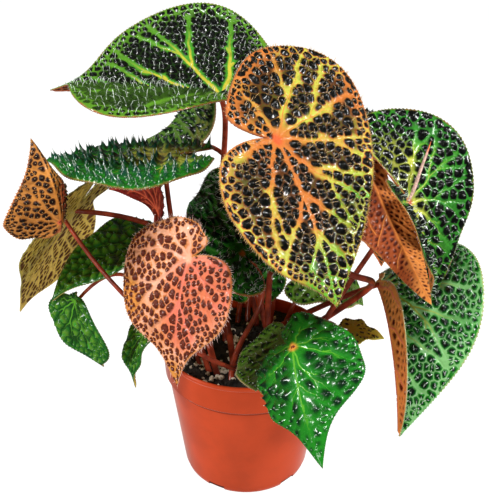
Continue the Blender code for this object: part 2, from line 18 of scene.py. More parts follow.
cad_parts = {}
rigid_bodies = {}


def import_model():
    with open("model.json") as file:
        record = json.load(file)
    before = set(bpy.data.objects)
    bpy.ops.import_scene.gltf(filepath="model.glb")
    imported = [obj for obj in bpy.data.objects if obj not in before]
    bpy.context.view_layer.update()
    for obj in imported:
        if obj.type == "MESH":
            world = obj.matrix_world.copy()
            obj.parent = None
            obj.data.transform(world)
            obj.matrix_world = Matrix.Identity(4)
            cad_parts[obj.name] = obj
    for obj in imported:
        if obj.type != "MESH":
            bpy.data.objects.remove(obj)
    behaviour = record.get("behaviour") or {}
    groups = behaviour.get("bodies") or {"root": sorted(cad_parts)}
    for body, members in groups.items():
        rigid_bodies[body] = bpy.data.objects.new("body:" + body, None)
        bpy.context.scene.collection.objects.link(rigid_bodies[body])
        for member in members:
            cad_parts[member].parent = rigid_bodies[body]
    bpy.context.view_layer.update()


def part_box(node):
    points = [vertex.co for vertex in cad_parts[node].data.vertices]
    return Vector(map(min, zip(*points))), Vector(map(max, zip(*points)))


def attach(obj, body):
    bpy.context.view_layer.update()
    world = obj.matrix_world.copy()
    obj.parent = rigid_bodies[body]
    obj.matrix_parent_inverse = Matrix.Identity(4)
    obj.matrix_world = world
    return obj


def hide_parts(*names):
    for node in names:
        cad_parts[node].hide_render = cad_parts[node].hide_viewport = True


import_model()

bl_info = {
    "name": "Potted begonia",
    "version": (1, 0, 0),
    "blender": (4, 5, 0),
    "location": "View3D > Sidebar > Begonia",
    "description": "Builds the finished look of a potted begonia over its packed parts",
    "category": "Object",
}

MM = 0.001
TURN = 2.0 * math.pi
CHUNK = 2000                   # points compared at a time
# The pot and the soil, in millimetres: the rim band, the foot, the drainage notches and the nests of perlite
BAND_HEIGHT = 22.0
FOOT_RADIUS = 45.0
NOTCH_ANGLES = (-119.0, -47.0, 25.0, 97.0, 169.0)
NOTCH_BOX = (5.2, 13.0, 8.4)
NESTS = ((-30, -18), (-21, -37), (-17, -25), (-9, 8), (30, 20), (14, 40))
# The stalks, in millimetres: height of their first knot, and how far the foot goes into the soil
STALK_START = 98.0
STALK_FOOT = 7.5
# The dry bract: each knot's place on the flat blade as shares of its length, its height and its radius
BRACT = (((-0.02, -0.06), 0.8, 0.7), ((-0.07, 0.07), 3.6, 1.3), ((-0.17, 0.22), 5.0, 1.0),
         ((-0.24, 0.35), 4.6, 0.8), ((-0.3, 0.45), 5.6, 0.12))
# The outline and the skin of a blade, in millimetres and degrees
MARGIN_WAVE = 1.1
MARGIN_WAVES = 7.0
MIDRIB_ROUND = 3.0
TIP_ANGLE = 11.0
SINUS_DEPTH = 0.8
SINUS_ANGLE = 13.0
OUTLINE_STEPS = 4001
TOOTH_DEPTH = 0.38
CLOSED_FOLD = 110.0            # a blade folded more than this has flatter bullae beside the midrib
# The veins: half width of the midrib, a side vein and a fork at the start, and what each loses to its end;
# size and rate of the waves they wander in; the forks of the midrib and of a side vein, as share of the way
# along and swing; how near a fork comes to another vein; how deep a vein lies
VEIN_WIDTHS = ((1.7, 1.1), (1.45, 0.95), (0.85, 0.4))
VEIN_WAVES = ((0.55, 9.0), (0.35, 23.0))
MIDRIB_FORKS = ((0.34, 42), (0.37, -42), (0.58, 36), (0.61, -36))
SIDE_FORKS = ((0.45, 32), (0.62, -30))
FORK_CLEAR = 3.2
VEIN_DEPTH = 0.45
# The bullae: each round's pitch as share of the leaf's and how many tries it gets, and the room for all
BULLA_ROUNDS = ((1.0, 7.0), (0.66, 8.0))
MOST_BULLAE = 4000
# The mesh of a blade: least distance of its points, distance of its fillers, rings of points round a
# bulla as share of its reach and count, and how thick a bristle is at its root and its knee
POINT_STEP = 0.55
FILL_PITCH = 2.4
CELL_RINGS = ((0.36, 5), (0.72, 9))
BRISTLE_RADII = (0.22, 0.15)
# The stage: place of the camera in millimetres, and each light's place, size and share of the key's power
CAMERA = (-1.1, -524.0, 454.3)
AIM = (0.0, 0.0, 0.17)
LIGHTS = (("right", (1.05, -0.2, 0.75), 0.24, 1.15), ("left", (-1.05, -0.25, 0.8), 0.24, 1.0),
          ("top", (0.1, -0.35, 1.35), 0.24, 1.0), ("front", (-0.35, -1.35, 0.5), 0.4, 0.5))
WHITE = (1.0, 1.0, 1.0, 1.0)

# One row per leaf. length, base and the stalk's root, rise, reach, radius and drop are in millimetres.
# turn is heading, dip of the tip and roll; droop, fold and curl bend the midrib and each half, in degrees.
# shoulder, left, right and span give the outline. drop is how far under the blade the stalk's bend ends.
Leaf = namedtuple("Leaf", "name length base turn droop fold curl shoulder left right span "
                          "root lean rise reach arrive stalk drop")
LEAVES = [Leaf(*row) for row in (
    ("top_left", 108, (-16, 21, 276), (186, -8, 0), 7, (30, 13), (-65, 37), 0.74, (0.96, 0.38, 0.6),
     (0.8, 0.82, 0.56), 182, (-15, 10), (-0.11, 0.49), 95, 24, (31, 24), 2.2, 1.12),
    ("centre_front", 100, (17, -58, 277), (-54, 42, -22), 18, (20, -5), (3, -37), 0.76, (0.63, 0.8, 0.41),
     (0.8, 0.67, 0.5), 257, (16, -9), (-0.07, 0.51), 71, 31, (-3, -86), 2.2, 1.92),
    ("small_top", 72, (-34, 62, 229), (118, 25, -44), -29, (13, 22), (-9, 0), 0.72, (0.62, 0.62, 0.59),
     (0.61, 0.62, 0.57), 182, (17, 5), (-0.28, 0.21), 70, 44, (54, 16), 1.9, 1.81),
    ("left_mid", 80, (-51, -20, 253), (170, 2, 3), 10, (8, -2), (-25, -34), 0.81, (0.76, 0.68, 0.47),
     (0.71, 0.62, 0.51), 198, (-26, -28), (-0.31, 0.22), 35, 75, (2, 0), 1.9, 0.8),
    ("young_red", 45, (-56, -18, 212), (109, -26, 73), 79, (14, 8), (3, -26), 0.69, (0.62, 0.66, 0.63),
     (0.63, 0.63, 0.61), 182, (-33, -19), (-0.29, 0.14), 70, 66, (49, 47), 1.5, 1.88),
    ("far_left", 56, (-110, -57, 225), (109, -114, 20), 73, (-19, -46), (-4, -39), 0.7, (0.6, 0.58, 0.43),
     (0.45, 0.55, 0.47), 173, (0, -32), (-1.18, -0.86), 73, 78, (18, 19), 1.5, 2.09),
    ("left_olive", 92, (-119, 30, 192), (184, 54, 27), 12, (-10, 7), (5, -20), 0.7, (0.67, 0.73, 0.6),
     (0.99, 0.35, 0.62), 183, (-9, -22), (-0.15, 1.21), 47, 77, (29, 30), 2.2, 1.57),
    ("left_low", 75, (-72, 20, 168), (209, -6, 9), 47, (11, 19), (-11, -24), 0.85, (0.71, 0.57, 0.6),
     (0.55, 0.62, 0.58), 177, (-37, 10), (-0.52, 0.14), 30, 14, (26, -11), 1.9, 1.1),
    ("pink_front", 80, (-33, -78, 212), (-128, 63, 16), 26, (0, 19), (-27, -35), 0.63, (0.62, 0.58, 0.44),
     (0.78, 0.4, 0.25), 121, (-20, -33), (-0.19, -0.16), 41, 8, (-17, 31), 2.2, 0.83),
    ("left_hanging", 53, (-118, -5, 139), (-69, 63, 58), 34, (29, 12), (-30, -37), 0.78, (0.83, 0.29, 0.15),
     (0.65, 0.5, 0.15), 184, (-34, -5), (-0.52, -0.36), 52, 57, (46, -43), 1.5, 2.08),
    ("left_small", 39, (-68, -25, 126), (-133, 42, 24), 47, (16, 7), (-7, -13), 0.72, (0.63, 0.61, 0.6),
     (0.7, 0.54, 0.6), 180, (-29, 1), (-0.9, -0.11), 20, 13, (50, 18), 1.5, 1.49),
    ("centre_dark", 75, (-2, -2, 174), (129, -15, -42), 21, (49, 47), (4, -17), 0.77, (0.46, 0.61, 0.55),
     (0.79, 0.66, 0.74), 182, (-10, -36), (0.01, 1.1), 22, 49, (34, 2), 1.9, 1.73),
    ("front_green", 71, (26, -111, 173), (-89, 20, 33), 43, (-32, -20), (-44, -40), 0.6, (0.63, 0.55, 0.39),
     (0.62, 0.56, 0.63), 225, (34, -30), (0.5, -0.35), 34, 66, (1, -12), 1.9, 1.5),
    ("front_dark", 60, (26, -41, 132), (-109, 3, 18), -6, (-3, -15), (-15, 0), 0.81, (0.62, 0.62, 0.5),
     (0.68, 0.61, 0.58), 190, (17, -35), (0.16, -0.27), 17, 9, (8, 32), 1.5, 1.52),
    ("right_top", 77, (101, -27, 224), (-29, 57, 20), 41, (5, 40), (16, 8), 0.72, (0.63, 0.78, 0.81),
     (0.62, 0.62, 0.58), 218, (41, -9), (0.44, -0.09), 55, 25, (-28, 20), 1.9, 1.36),
    ("right_folded", 124, (74, -13, 245), (-70, 33, 206), 37, (24, 38), (2, -25), 0.3, (0.38, 0.48, 0.34),
     (0.14, 0.13, 0.13), 191, (34, 9), (0.95, -0.35), 125, 148, (-68, -86), 2.2, 2.9),
    ("right_low", 116, (93, 8, 143), (-87, -5, 2), 86, (15, 108), (21, -18), 0.78, (0.68, 0.59, 0.54),
     (0.12, 0.09, 0.06), 169, (15, 17), (1.39, -0.15), 12, 27, (-18, 86), 2.2, -1.32),
    ("right_olive", 23, (72, -20, 125), (-12, -4, 3), 30, (1, 2), (-12, -20), 0.71, (0.58, 0.63, 0.57),
     (0.6, 0.68, 0.59), 179, (28, -24), (0.77, 0.3), 40, 25, (54, 5), 1.5, 1.67),
    ("back_low", 52, (54, 45, 134), (3, 14, 11), 59, (8, -6), (-10, -17), 0.72, (0.62, 0.62, 0.6),
     (0.68, 0.56, 0.69), 191, (29, 30), (0.4, 0.23), 27, 8, (25, 21), 1.5, 1.62),
    ("back_high", 90, (40, 106, 237), (70, 15, 0), 30, (12, 8), (-15, -10), 0.72, (0.62, 0.6, 0.5),
     (0.66, 0.7, 0.6), 190, (18, 33), (0.11, 0.18), 121, 87, (27, 4), 2.2, 1.39),
    ("back_left", 72, (12, 72, 176), (125, 28, 0), 30, (12, 8), (-15, -10), 0.72, (0.62, 0.6, 0.5),
     (0.66, 0.7, 0.6), 190, (1, 38), (0.08, 0.38), 57, 17, (-6, -75), 1.9, 1.89),
    ("back_right", 79, (79, 138, 127), (35, 32, 0), 30, (12, 8), (-15, -10), 0.72, (0.62, 0.6, 0.5),
     (0.66, 0.7, 0.6), 190, (-6, 36), (0.14, 0.34), 47, 85, (43, -11), 1.9, 1.55),
    ("back_mid", 38, (3, 33, 133), (92, -75, 0), 12, (8, 8), (-10, -10), 0.72, (0.62, 0.6, 0.5),
     (0.66, 0.7, 0.6), 190, (8, 31), (0, 0.25), 10, 14, (60, 0), 1.9, 2.1),
)]

# Side veins: direction at the base, direction at the end, and reach
PALMATE = ((33, 26, 0.9), (72, 62, 0.88), (108, 100, 0.85), (142, 134, 0.8),
           (-33, -26, 0.9), (-72, -62, 0.88), (-108, -100, 0.85), (-142, -134, 0.8))
UPPER_LEFT = ((40, 30, 0.9), (80, 70, 0.85), (125, 112, 0.8),
              (-10, -32, 0.95), (-67, -54, 0.92), (-108, -95, 0.9), (-150, -140, 0.8))
CENTRE = ((22, 42, 0.85), (75, 79, 0.92), (110, 103, 0.9), (138, 133, 0.9), (178, 192, 0.8),
          (-53, -26, 0.9), (-85, -78, 0.75))
PINK = ((66, 56, 0.85), (110, 95, 0.8),
        (-47, -40, 0.9), (-97, -80, 0.85), (-135, -108, 0.85), (-175, -150, 0.8))
FRONT = ((4, 33, 0.85), (89, 76, 0.85), (120, 112, 0.7), (164, 149, 0.75),
         (-59, -62, 0.8), (-120, -96, 0.85))

# How each leaf is dressed. pitch is the mean distance of its bullae in millimetres, round how round the
# cells are from 0 to 1, cone their height, sharp their form from 0 for domes to 1 for cones. hair is the
# length of their bristles, fringe that of the margin's bristles, and hairs how many a bulla carries. Two
# values for cone or hair are for the left and the right half. girth is how broad the veins are. warm and
# cool are soft discs of those tints: along, across and radius as shares of the length.
Dress = namedtuple("Dress", "look pitch round cone sharp hair fringe veins girth hairs warm cool",
                   defaults=(PALMATE, 0.8, 1, (), ()))
DRESS = {
    "top_left": Dress("black_green", 5.8, 0.1, (3.0, 2.6), 0.7, (4.0, 3.4), 1.0, veins=UPPER_LEFT,
                 girth=1.3, cool=((0.3, 0.42, 0.3), (0.7, 0.35, 0.3))),
    "centre_front": Dress("sunset", 6.0, 0.6, 3.2, 0.5, 3.2, 1.6, veins=CENTRE, girth=0.4, hairs=2,
                 warm=((0.12, -0.05, 0.26), (0.42, -0.02, 0.16), (-0.3, -0.35, 0.36), (-0.62, 0.1, 0.3),
                 (-0.15, 0.65, 0.16)), cool=((0.62, 0.42, 0.3), (0.95, 0.0, 0.3))),
    "small_top": Dress("dusk_green", 6.2, 0.2, 6.6, 1.0, 1.6, 1.0, warm=((-0.1, 0.0, 0.35),)),
    "left_mid": Dress("teal_spine", 6.4, 0.2, 7.2, 1.0, 1.2, 0.8, girth=0.7, warm=((0.0, 0.0, 0.3),)),
    "young_red": Dress("wine", 5.4, 0.3, 2.0, 0.5, 1.0, 1.0, girth=1.0),
    "far_left": Dress("amber", 3.6, 0.9, 1.6, 0.5, 1.0, 1.0, girth=0.6, warm=((0.15, -0.4, 0.3),)),
    "left_olive": Dress("olive_back", 6.6, 0.8, 2.0, 0.3, 0.8, 0.8, girth=0.4),
    "left_low": Dress("leaf_green", 6.8, 0.2, 4.4, 0.5, 0.9, 0.7, girth=0.6),
    "pink_front": Dress("pink", 4.8, 0.9, 2.0, 0.3, 1.4, 2.4, veins=PINK, girth=0.45,
                 warm=((0.22, 0.16, 0.3), (0.05, 0.4, 0.25), (0.5, 0.05, 0.2)), cool=((0.98, 0.0, 0.2),
                 (0.45, -0.55, 0.18))),
    "left_hanging": Dress("leaf_green", 6.4, 0.2, 4.0, 0.5, 0.9, 0.7, girth=0.6),
    "left_small": Dress("leaf_green", 5.4, 0.2, 3.2, 0.5, 0.9, 0.7, girth=0.6),
    "centre_dark": Dress("night_green", 6.4, 0.2, 5.0, 0.9, 3.8, 1.2, hairs=3),
    "front_green": Dress("bright_green", 7.6, 0.1, 4.6, 0.6, 0.8, 0.7, veins=FRONT, girth=0.5),
    "front_dark": Dress("dusk_green", 6.2, 0.3, 3.2, 0.7, 1.0, 0.8, girth=0.7),
    "right_top": Dress("lime_black", 6.6, 0.2, 3.4, 0.6, 3.2, 1.2, girth=0.4, warm=((-0.35, 0.05, 0.26),
                 (0.1, 0.0, 0.16)), cool=((0.3, 0.55, 0.5), (-0.5, 0.6, 0.3))),
    "right_folded": Dress("ember_back", 3.8, 0.6, 2.0, 0.4, 0.8, 0.8, girth=0.6, warm=((0.05, -0.13, 0.12),
                 (0.2, -0.13, 0.12), (0.36, -0.12, 0.12), (0.52, -0.12, 0.12), (0.68, -0.1, 0.12),
                 (0.84, -0.08, 0.12), (0.97, 0.0, 0.12))),
    "right_low": Dress("jade", 5.4, 0.1, 3.8, 0.8, 2.6, 1.0, hairs=2),
    "right_olive": Dress("olive_young", 3.4, 0.3, 1.6, 0.4, 0.7, 0.7, girth=1.0),
    "back_low": Dress("dusk_green", 6.4, 0.3, 3.2, 0.7, 1.2, 0.8),
    "back_high": Dress("black_green", 7.2, 0.2, 3.4, 0.8, 1.6, 1.0, girth=1.0),
    "back_left": Dress("leaf_green", 7.0, 0.2, 2.8, 0.4, 0.9, 0.8),
    "back_right": Dress("lime_black", 7.2, 0.4, 3.2, 0.7, 1.4, 1.0),
    "back_mid": Dress("night_green", 6.0, 0.3, 3.0, 0.7, 1.6, 0.8),
}

# The finish of each kind of leaf, by the names of its colours in LEAF_TINTS. spot_from and spot_full are the
# ways in millimetres from a cell's border to where its dark colour begins and where it is full; margin moves
# both inward near the leaf's edge. deep is how dark the net gets between the veins, fade how far it turns
# to flesh near the edge, seep how much of the cool tint reaches the spots, and tip how pale the tops are.
Look = namedtuple("Look", "net warm cool flesh spot core vein star rim hair spot_from spot_full margin "
                          "deep fade seep tip under under_warm under_pit under_vein gloss")
LOOKS = {
    "black_green": Look("fresh_green", "straw", "leaf_green", "leaf_green", "black", "black", "straw",
         "orange", "rust", "silver", 0.12, 0.5, 0.4, 0.9, 0.9, 0.25, 0.25, "rust", "rust", "brown",
         "salmon", 0.7),
    "sunset": Look("yellow_lime", "rust_orange", "lime", "rust_orange", "black", "black", "amber",
         "red_orange", "rust", "sand", 0.22, 0.6, 0.1, 0.85, 0.0, 0.0, 0.1, "rust", "rust", "brown",
         "salmon", 0.5),
    "night_green": Look("fresh_green", "lime", "green", "green", "deep_green", "black", "fresh_green",
         "orange", "rust", "silver", 0.3, 1.4, 0.2, 0.8, 0.3, 0.0, 0.35, "olive", "olive", "brown", "sand",
         0.7),
    "teal_spine": Look("bright_green", "yellow_lime", "green", "green", "teal", "deep_green", "yellow_lime",
         "straw", "rust", "silver", 0.8, 2.4, 0.0, 0.3, 0.0, 0.0, 0.6, "green", "green", "deep_green",
         "lime", 1.0),
    "wine": Look("wine", "wine", "wine", "wine", "brown_red", "brown_red", "wine", "wine", "wine", "sand",
         0.4, 1.6, 0.0, 0.3, 0.0, 0.0, 0.0, "wine", "wine", "brown_red", "coral", 0.3),
    "amber": Look("amber", "coral", "amber", "umber", "brown", "black", "amber", "coral", "rust", "sand",
         0.25, 0.6, 0.0, 0.0, 0.0, 0.0, 0.0, "amber", "coral", "brown", "coral", 0.3),
    "olive_back": Look("olive_sand", "straw", "olive", "olive", "umber", "black", "straw", "straw", "olive",
         "sand", 0.2, 0.5, 0.0, 0.3, 0.0, 0.0, 0.0, "olive_sand", "straw", "umber", "olive_sand", 0.15),
    # leaf_green: the net is painted dark and the bullae's tops light, as painted shade in the hollows and
    # painted light on the tops
    "leaf_green": Look("dark_green", "lime", "green", "green", "leaf_green", "fresh_green", "lime", "lime",
         "green", "mint", 0.3, 2.0, 0.0, 0.2, 0.3, 0.0, 0.25, "olive_sand", "olive_sand", "green", "lime",
         0.6),
    # pink: the lighter core of each spot is partly its own russet colour and partly a painted highlight on
    # the bulla's top
    "pink": Look("cream_pink", "coral_pink", "amber", "rust_orange", "brown_red", "russet", "cream_pink",
         "cream_pink", "amber", "pale_pink", 0.15, 0.45, 0.0, 0.0, 0.0, 0.0, 0.0, "salmon", "salmon",
         "brown_red", "pale_pink", 0.3),
    "bright_green": Look("bright_green", "lime", "green", "bright_green", "deep_green", "deep_green",
         "lime", "orange", "green", "mint", 0.5, 2.8, -0.3, 0.5, 0.0, 0.0, 0.0, "olive_sand", "olive_sand",
         "green", "lime", 0.85),
    "dusk_green": Look("dull_green", "olive", "green", "leaf_green", "deep_green", "black", "dull_green",
         "olive", "sand", "silver", 0.4, 1.5, 0.0, 0.4, 0.0, 0.0, 0.3, "olive", "olive", "brown", "sand",
         0.6),
    "lime_black": Look("lime", "yellow_lime", "fresh_green", "green", "black", "black", "yellow_lime",
         "salmon", "rust", "silver", 0.3, 0.8, 0.0, 0.5, 0.5, 0.0, 0.15, "rust_orange", "rust_orange",
         "brown", "salmon", 0.8),
    "ember_back": Look("green", "lime", "green", "green", "black", "black", "lime", "orange", "amber",
         "sand", 0.3, 0.8, 0.0, 0.3, 0.0, 0.0, 0.0, "ember", "gold", "brown_red", "rust_orange", 0.3),
    "jade": Look("jade", "lime", "fresh_green", "bright_green", "deep_green", "black", "yellow_lime",
         "lime", "sand", "silver", 0.4, 1.4, 0.2, 0.3, 0.2, 0.0, 0.45, "gold", "gold", "brown_red",
         "salmon", 0.9),
    "olive_young": Look("yellow_lime", "straw", "olive", "yellow_lime", "dark_green", "black", "straw",
         "straw", "straw", "sand", 0.15, 0.5, 0.0, 0.0, 0.0, 0.0, 0.0, "yellow_lime", "yellow_lime",
         "dark_green", "straw", 0.3),
}
LEAF_TINTS = {
    "lime": (96, 168, 42), "yellow_lime": (194, 196, 74), "straw": (206, 192, 62),
    "bright_green": (30, 126, 28), "fresh_green": (60, 146, 44), "green": (26, 96, 26),
    "leaf_green": (88, 140, 34), "deep_green": (6, 38, 16), "dark_green": (24, 60, 18),
    "dull_green": (100, 122, 62), "jade": (152, 214, 136), "teal": (12, 66, 48), "mint": (190, 222, 196),
    "silver": (228, 238, 226), "black": (5, 7, 4), "brown": (42, 16, 7), "brown_red": (76, 24, 12),
    "russet": (100, 42, 26), "umber": (92, 54, 24), "olive": (110, 110, 44), "olive_sand": (218, 188, 84),
    "sand": (214, 178, 128), "orange": (232, 152, 62), "red_orange": (224, 98, 54),
    "rust_orange": (204, 120, 54), "rust": (176, 92, 58), "amber": (214, 140, 62), "ember": (158, 76, 38),
    "gold": (232, 146, 72), "coral": (222, 98, 66), "coral_pink": (228, 116, 94), "salmon": (228, 120, 88),
    "cream_pink": (238, 174, 142), "pale_pink": (246, 208, 196), "wine": (150, 44, 38),
}


def srgb(red, green, blue):
    """Linear colour of a screen colour given from 0 to 255."""
    parts = [c / 255.0 for c in (red, green, blue)]
    return tuple(c / 12.92 if c <= 0.04045 else ((c + 0.055) / 1.055) ** 2.4 for c in parts)


def tint(label, red, green, blue):
    return FloatVectorProperty(name=label, description="Colour of " + label, subtype="COLOR", size=3,
                               min=0.0, max=1.0, default=srgb(red, green, blue))


def measure(label, description, value):
    return FloatProperty(name=label, description=description, unit="LENGTH", default=value)


def number(label, description, value):
    return IntProperty(name=label, description=description, default=value)


class PotSizes(bpy.types.PropertyGroup):
    """Sizes and colour of the nursery pot."""

    height: measure("Height", "Height of the pot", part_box("pot")[1][2])
    rim_radius: measure("Rim radius", "Outer radius of the lip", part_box("pot")[1][0])
    wall: measure("Wall", "Thickness of the wall", 1.6 * MM)
    sides: number("Sides", "Flats round the pot", 144)
    plastic: tint("pot plastic", 202, 66, 12)


class SoilSizes(bpy.types.PropertyGroup):
    """Sizes and colours of the potting soil."""

    top: measure("Top", "Height of the soil's surface", 96.5 * MM)
    crumbs: number("Crumbs", "Loose crumbs on the surface", 700)
    grains: number("Perlite grains", "White grains on the surface", 170)
    earth: tint("the soil", 44, 34, 26)
    perlite: tint("the perlite", 228, 214, 190)


class StalkLooks(bpy.types.PropertyGroup):
    """Roundness and colours of the stalks, and the colours of the dry bract."""

    sides: number("Sides", "How finely the stalks are rounded", 5)
    red: tint("a stalk's sunny side", 178, 70, 42)
    brown: tint("a stalk's shaded side", 112, 40, 25)
    bract: tint("the dry bract", 240, 196, 178)
    bract_tip: tint("the tip of the dry bract", 222, 110, 52)


class LeafLooks(bpy.types.PropertyGroup):
    """Sizes and colours of the blades."""

    thickness: measure("Thickness", "Thickness of a blade", 0.8 * MM)
    tooth: measure("Teeth", "Distance between the teeth of the margin", 2.4 * MM)
    __annotations__.update((name, tint("leaf tint " + name.replace("_", " "), *levels))
                           for name, levels in LEAF_TINTS.items())


class StageLooks(bpy.types.PropertyGroup):
    """The studio round the plant."""

    focal: FloatProperty(name="Focal length", description="Lens of the camera in mm on a 36 mm sensor",
                         default=878.0 * 36.0 / 499.0)
    tilt: FloatProperty(name="Tilt", description="How far the camera looks down", subtype="ANGLE",
                        default=math.radians(27.93))
    key: FloatProperty(name="Key light", description="Power of the key light", unit="POWER", default=9.4)
    sky: FloatProperty(name="Surround", description="Strength of the white surround", default=0.08)
    paper: tint("the studio paper", 130, 130, 130)


# Nodes and finishes


def shade(colour, share=1.0, lift=0.0):
    """A colour of four values, darker or paler than the one given."""
    return tuple(min(1.0, c * share + lift) for c in colour[:3]) + (1.0,)


class Finish:
    """A material with one Principled shader, and the steps that add nodes to its tree."""

    def __init__(self, name):
        self.material = bpy.data.materials.new(name)
        self.material.use_nodes = True
        self.tree = self.material.node_tree

    def plug(self, sockets, values):
        """Sets each socket to its value, or links it where the value is another node's output."""
        for key, value in values.items():
            if isinstance(value, bpy.types.NodeSocket):
                self.tree.links.new(value, sockets[key])
            else:
                sockets[key].default_value = value

    def add(self, kind, inputs, **settings):
        """Adds a node and returns its outputs; inputs maps a socket's name or place to its value."""
        made = self.tree.nodes.new(kind)
        for key, value in settings.items():
            setattr(made, key, value)
        self.plug(made.inputs, inputs)
        return made.outputs

    def mix(self, share, first, second):
        return self.add("ShaderNodeMix", {0: share, 6: first, 7: second}, data_type="RGBA")[2]

    def rise(self, value, low, high, bottom=0.0, top=1.0):
        """Smooth step of a value between low and high."""
        return self.add("ShaderNodeMapRange", {0: value, 1: low, 2: high, 3: bottom, 4: top},
                        interpolation_type="SMOOTHSTEP")[0]

    def times(self, first, second):
        return self.add("ShaderNodeMath", {0: first, 1: second}, operation="MULTIPLY")[0]

    def plus(self, first, second):
        return self.add("ShaderNodeMath", {0: first, 1: second}, operation="ADD")[0]

    def less(self, first, second):
        return self.add("ShaderNodeMath", {0: first, 1: second}, operation="SUBTRACT")[0]

    def place(self):
        return self.add("ShaderNodeTexCoord", {})["Object"]

    def grain(self, scale, detail=3.0, rough=0.55):
        """Noise on the object's own coordinates; scale is in cells per metre."""
        return self.add("ShaderNodeTexNoise", {"Vector": self.place(), "Scale": scale, "Detail": detail,
                                               "Roughness": rough})[0]

    def painted(self, name):
        return self.add("ShaderNodeAttribute", {}, attribute_name=name)["Fac"]

    def done(self, colour, rough, bump, **others):
        """Fills the shader in and returns the material. bump is height, strength and distance."""
        values = {"Base Color": colour, "Roughness": rough}
        if bump:
            height, strength, distance = bump
            values["Normal"] = self.add("ShaderNodeBump", {"Strength": strength, "Distance": distance,
                                                           "Height": height})[0]
        values.update((name.replace("_", " "), value) for name, value in others.items())
        self.plug(self.tree.nodes["Principled BSDF"].inputs, values)
        return self.material


def leaf_finish(kind):
    """Net, dark bullae, veins, warm zones, star, margin and underside of one kind of leaf."""
    look = LOOKS[kind]
    coat = Finish("leaf_" + kind)
    cloud, fleck = coat.grain(45.0), coat.grain(800.0, 4.0)
    vein, warm, cool, deep, out = (coat.painted(name) for name in ("vein", "warm", "cool", "deep", "out"))
    shift = coat.times(coat.less(fleck, 0.5), 0.5)
    inset = coat.times(coat.less(1.0, deep), look.margin)
    border = coat.less(coat.plus(coat.painted("border"), shift), inset)
    sink = coat.times(deep, look.deep)

    def of(name):
        return shade(getattr(bpy.context.scene.begonia_leaf, name))

    def tinted(name, share):
        colour = coat.mix(coat.times(cool, share), of(name), of(look.cool))
        return coat.mix(coat.times(warm, share), colour, of(look.warm))

    net = coat.mix(coat.rise(cloud, 0.42, 0.66, 0.0, 0.5), tinted(look.net, 1.0), of(look.flesh))
    net = coat.mix(coat.rise(out, 0.55, 0.95, 0.0, look.fade), net, of(look.flesh))
    sunk = coat.mix(sink, net, of(look.spot))
    body = coat.mix(sink, tinted(look.flesh, 0.5), of(look.spot))
    flesh = coat.mix(coat.rise(border, 0.3 * look.spot_from, look.spot_from), sunk, body)
    dark = coat.mix(coat.rise(border, look.spot_full, look.spot_full + 0.9), of(look.spot), of(look.core))
    dark = coat.mix(coat.rise(fleck, 0.58, 0.8, 0.0, 0.1), dark, of(look.flesh))
    dark = coat.mix(coat.times(cool, look.seep), dark, of(look.cool))
    face = coat.mix(coat.rise(border, look.spot_from, look.spot_full), flesh, dark)
    face = coat.mix(coat.rise(coat.painted("bulla"), 0.72, 1.0, 0.0, look.tip), face, of(look.hair))
    face = coat.mix(coat.rise(vein, 0.01, 0.35, 0.0, 0.65), face, net)
    veins = coat.mix(coat.rise(out, 0.4, 0.85), tinted(look.vein, 0.85), net)
    face = coat.mix(coat.rise(coat.plus(vein, coat.times(shift, 0.4)), 0.3, 0.75, 0.0, 0.95), face, veins)
    face = coat.mix(coat.rise(coat.painted("star"), 0.1, 0.8), face, of(look.star))
    under = coat.mix(warm, of(look.under), of(look.under_warm))
    under = coat.mix(coat.rise(border, 0.8 * look.spot_from, 1.6 * look.spot_full), under, of(look.under_pit))
    under = coat.mix(coat.rise(cloud, 0.4, 0.7, 0.0, 0.35), under, of(look.under_pit))
    under = coat.mix(coat.rise(vein, 0.2, 0.8), under, of(look.under_vein))
    colour = coat.mix(coat.painted("back"), face, under)
    colour = coat.mix(coat.rise(coat.painted("rim"), 0.3, 0.9, 0.0, 0.85), colour, of(look.rim))
    colour = coat.mix(coat.painted("hair"), colour, of(look.hair))
    rough = coat.rise(fleck, 0.3, 0.7, 0.42 - 0.3 * look.gloss, 0.56 - 0.3 * look.gloss)
    relief = coat.plus(fleck, coat.times(coat.grain(300.0), 2.0))
    return coat.done(colour, rough, (relief, 0.35, 0.6 * MM), Coat_Weight=0.6 * look.gloss,
                  Coat_Roughness=0.08, Specular_IOR_Level=0.15)


def pot_finish():
    """Satin moulded plastic with faint mottling and scuffs, and painted shade under the band and in the
    notches.
    """
    sizes = bpy.context.scene.begonia_pot
    coat = Finish("pot_plastic")
    cloud = coat.grain(28.0, 4.0)
    colour = coat.mix(coat.rise(cloud, 0.35, 0.65), shade(sizes.plastic, 0.82), shade(sizes.plastic))
    scuff = coat.rise(coat.grain(260.0, 6.0, 0.75), 0.62, 0.75, 0.0, 0.5)
    colour = coat.mix(scuff, colour, shade(sizes.plastic, 1.12, 0.02))
    height = coat.times(coat.add("ShaderNodeSeparateXYZ", {0: coat.place()})["Z"], 1.0 / MM)
    band = sizes.height / MM - BAND_HEIGHT
    # painted shade: a thin dark line just below the band's ledge
    groove_shade = coat.less(coat.rise(height, band - 3.5, band - 2.8), coat.rise(height, band - 0.3, band + 0.4))
    colour = coat.mix(coat.times(groove_shade, 0.5), colour, shade(sizes.plastic, 0.12))
    # painted shade inside the drainage notches, by height and distance from the pot's axis
    flat = coat.add("ShaderNodeVectorMath", {0: coat.place(), 1: (1.0 / MM, 1.0 / MM, 0.0)},
                    operation="MULTIPLY")[0]
    reach = coat.add("ShaderNodeVectorMath", {0: flat}, operation="LENGTH")["Value"]
    cut = coat.times(coat.rise(reach, FOOT_RADIUS - 0.7, FOOT_RADIUS - 1.6), coat.rise(height, 5.4, 4.6))
    colour = coat.mix(coat.times(cut, 0.93), colour, shade(sizes.plastic, 0.12))
    rough = coat.rise(cloud, 0.3, 0.7, 0.36, 0.44)
    return coat.done(colour, rough, (coat.grain(1500.0, 2.0), 0.12, 0.1 * MM), Specular_IOR_Level=0.22,
                     Sheen_Weight=0.7, Sheen_Roughness=0.3)


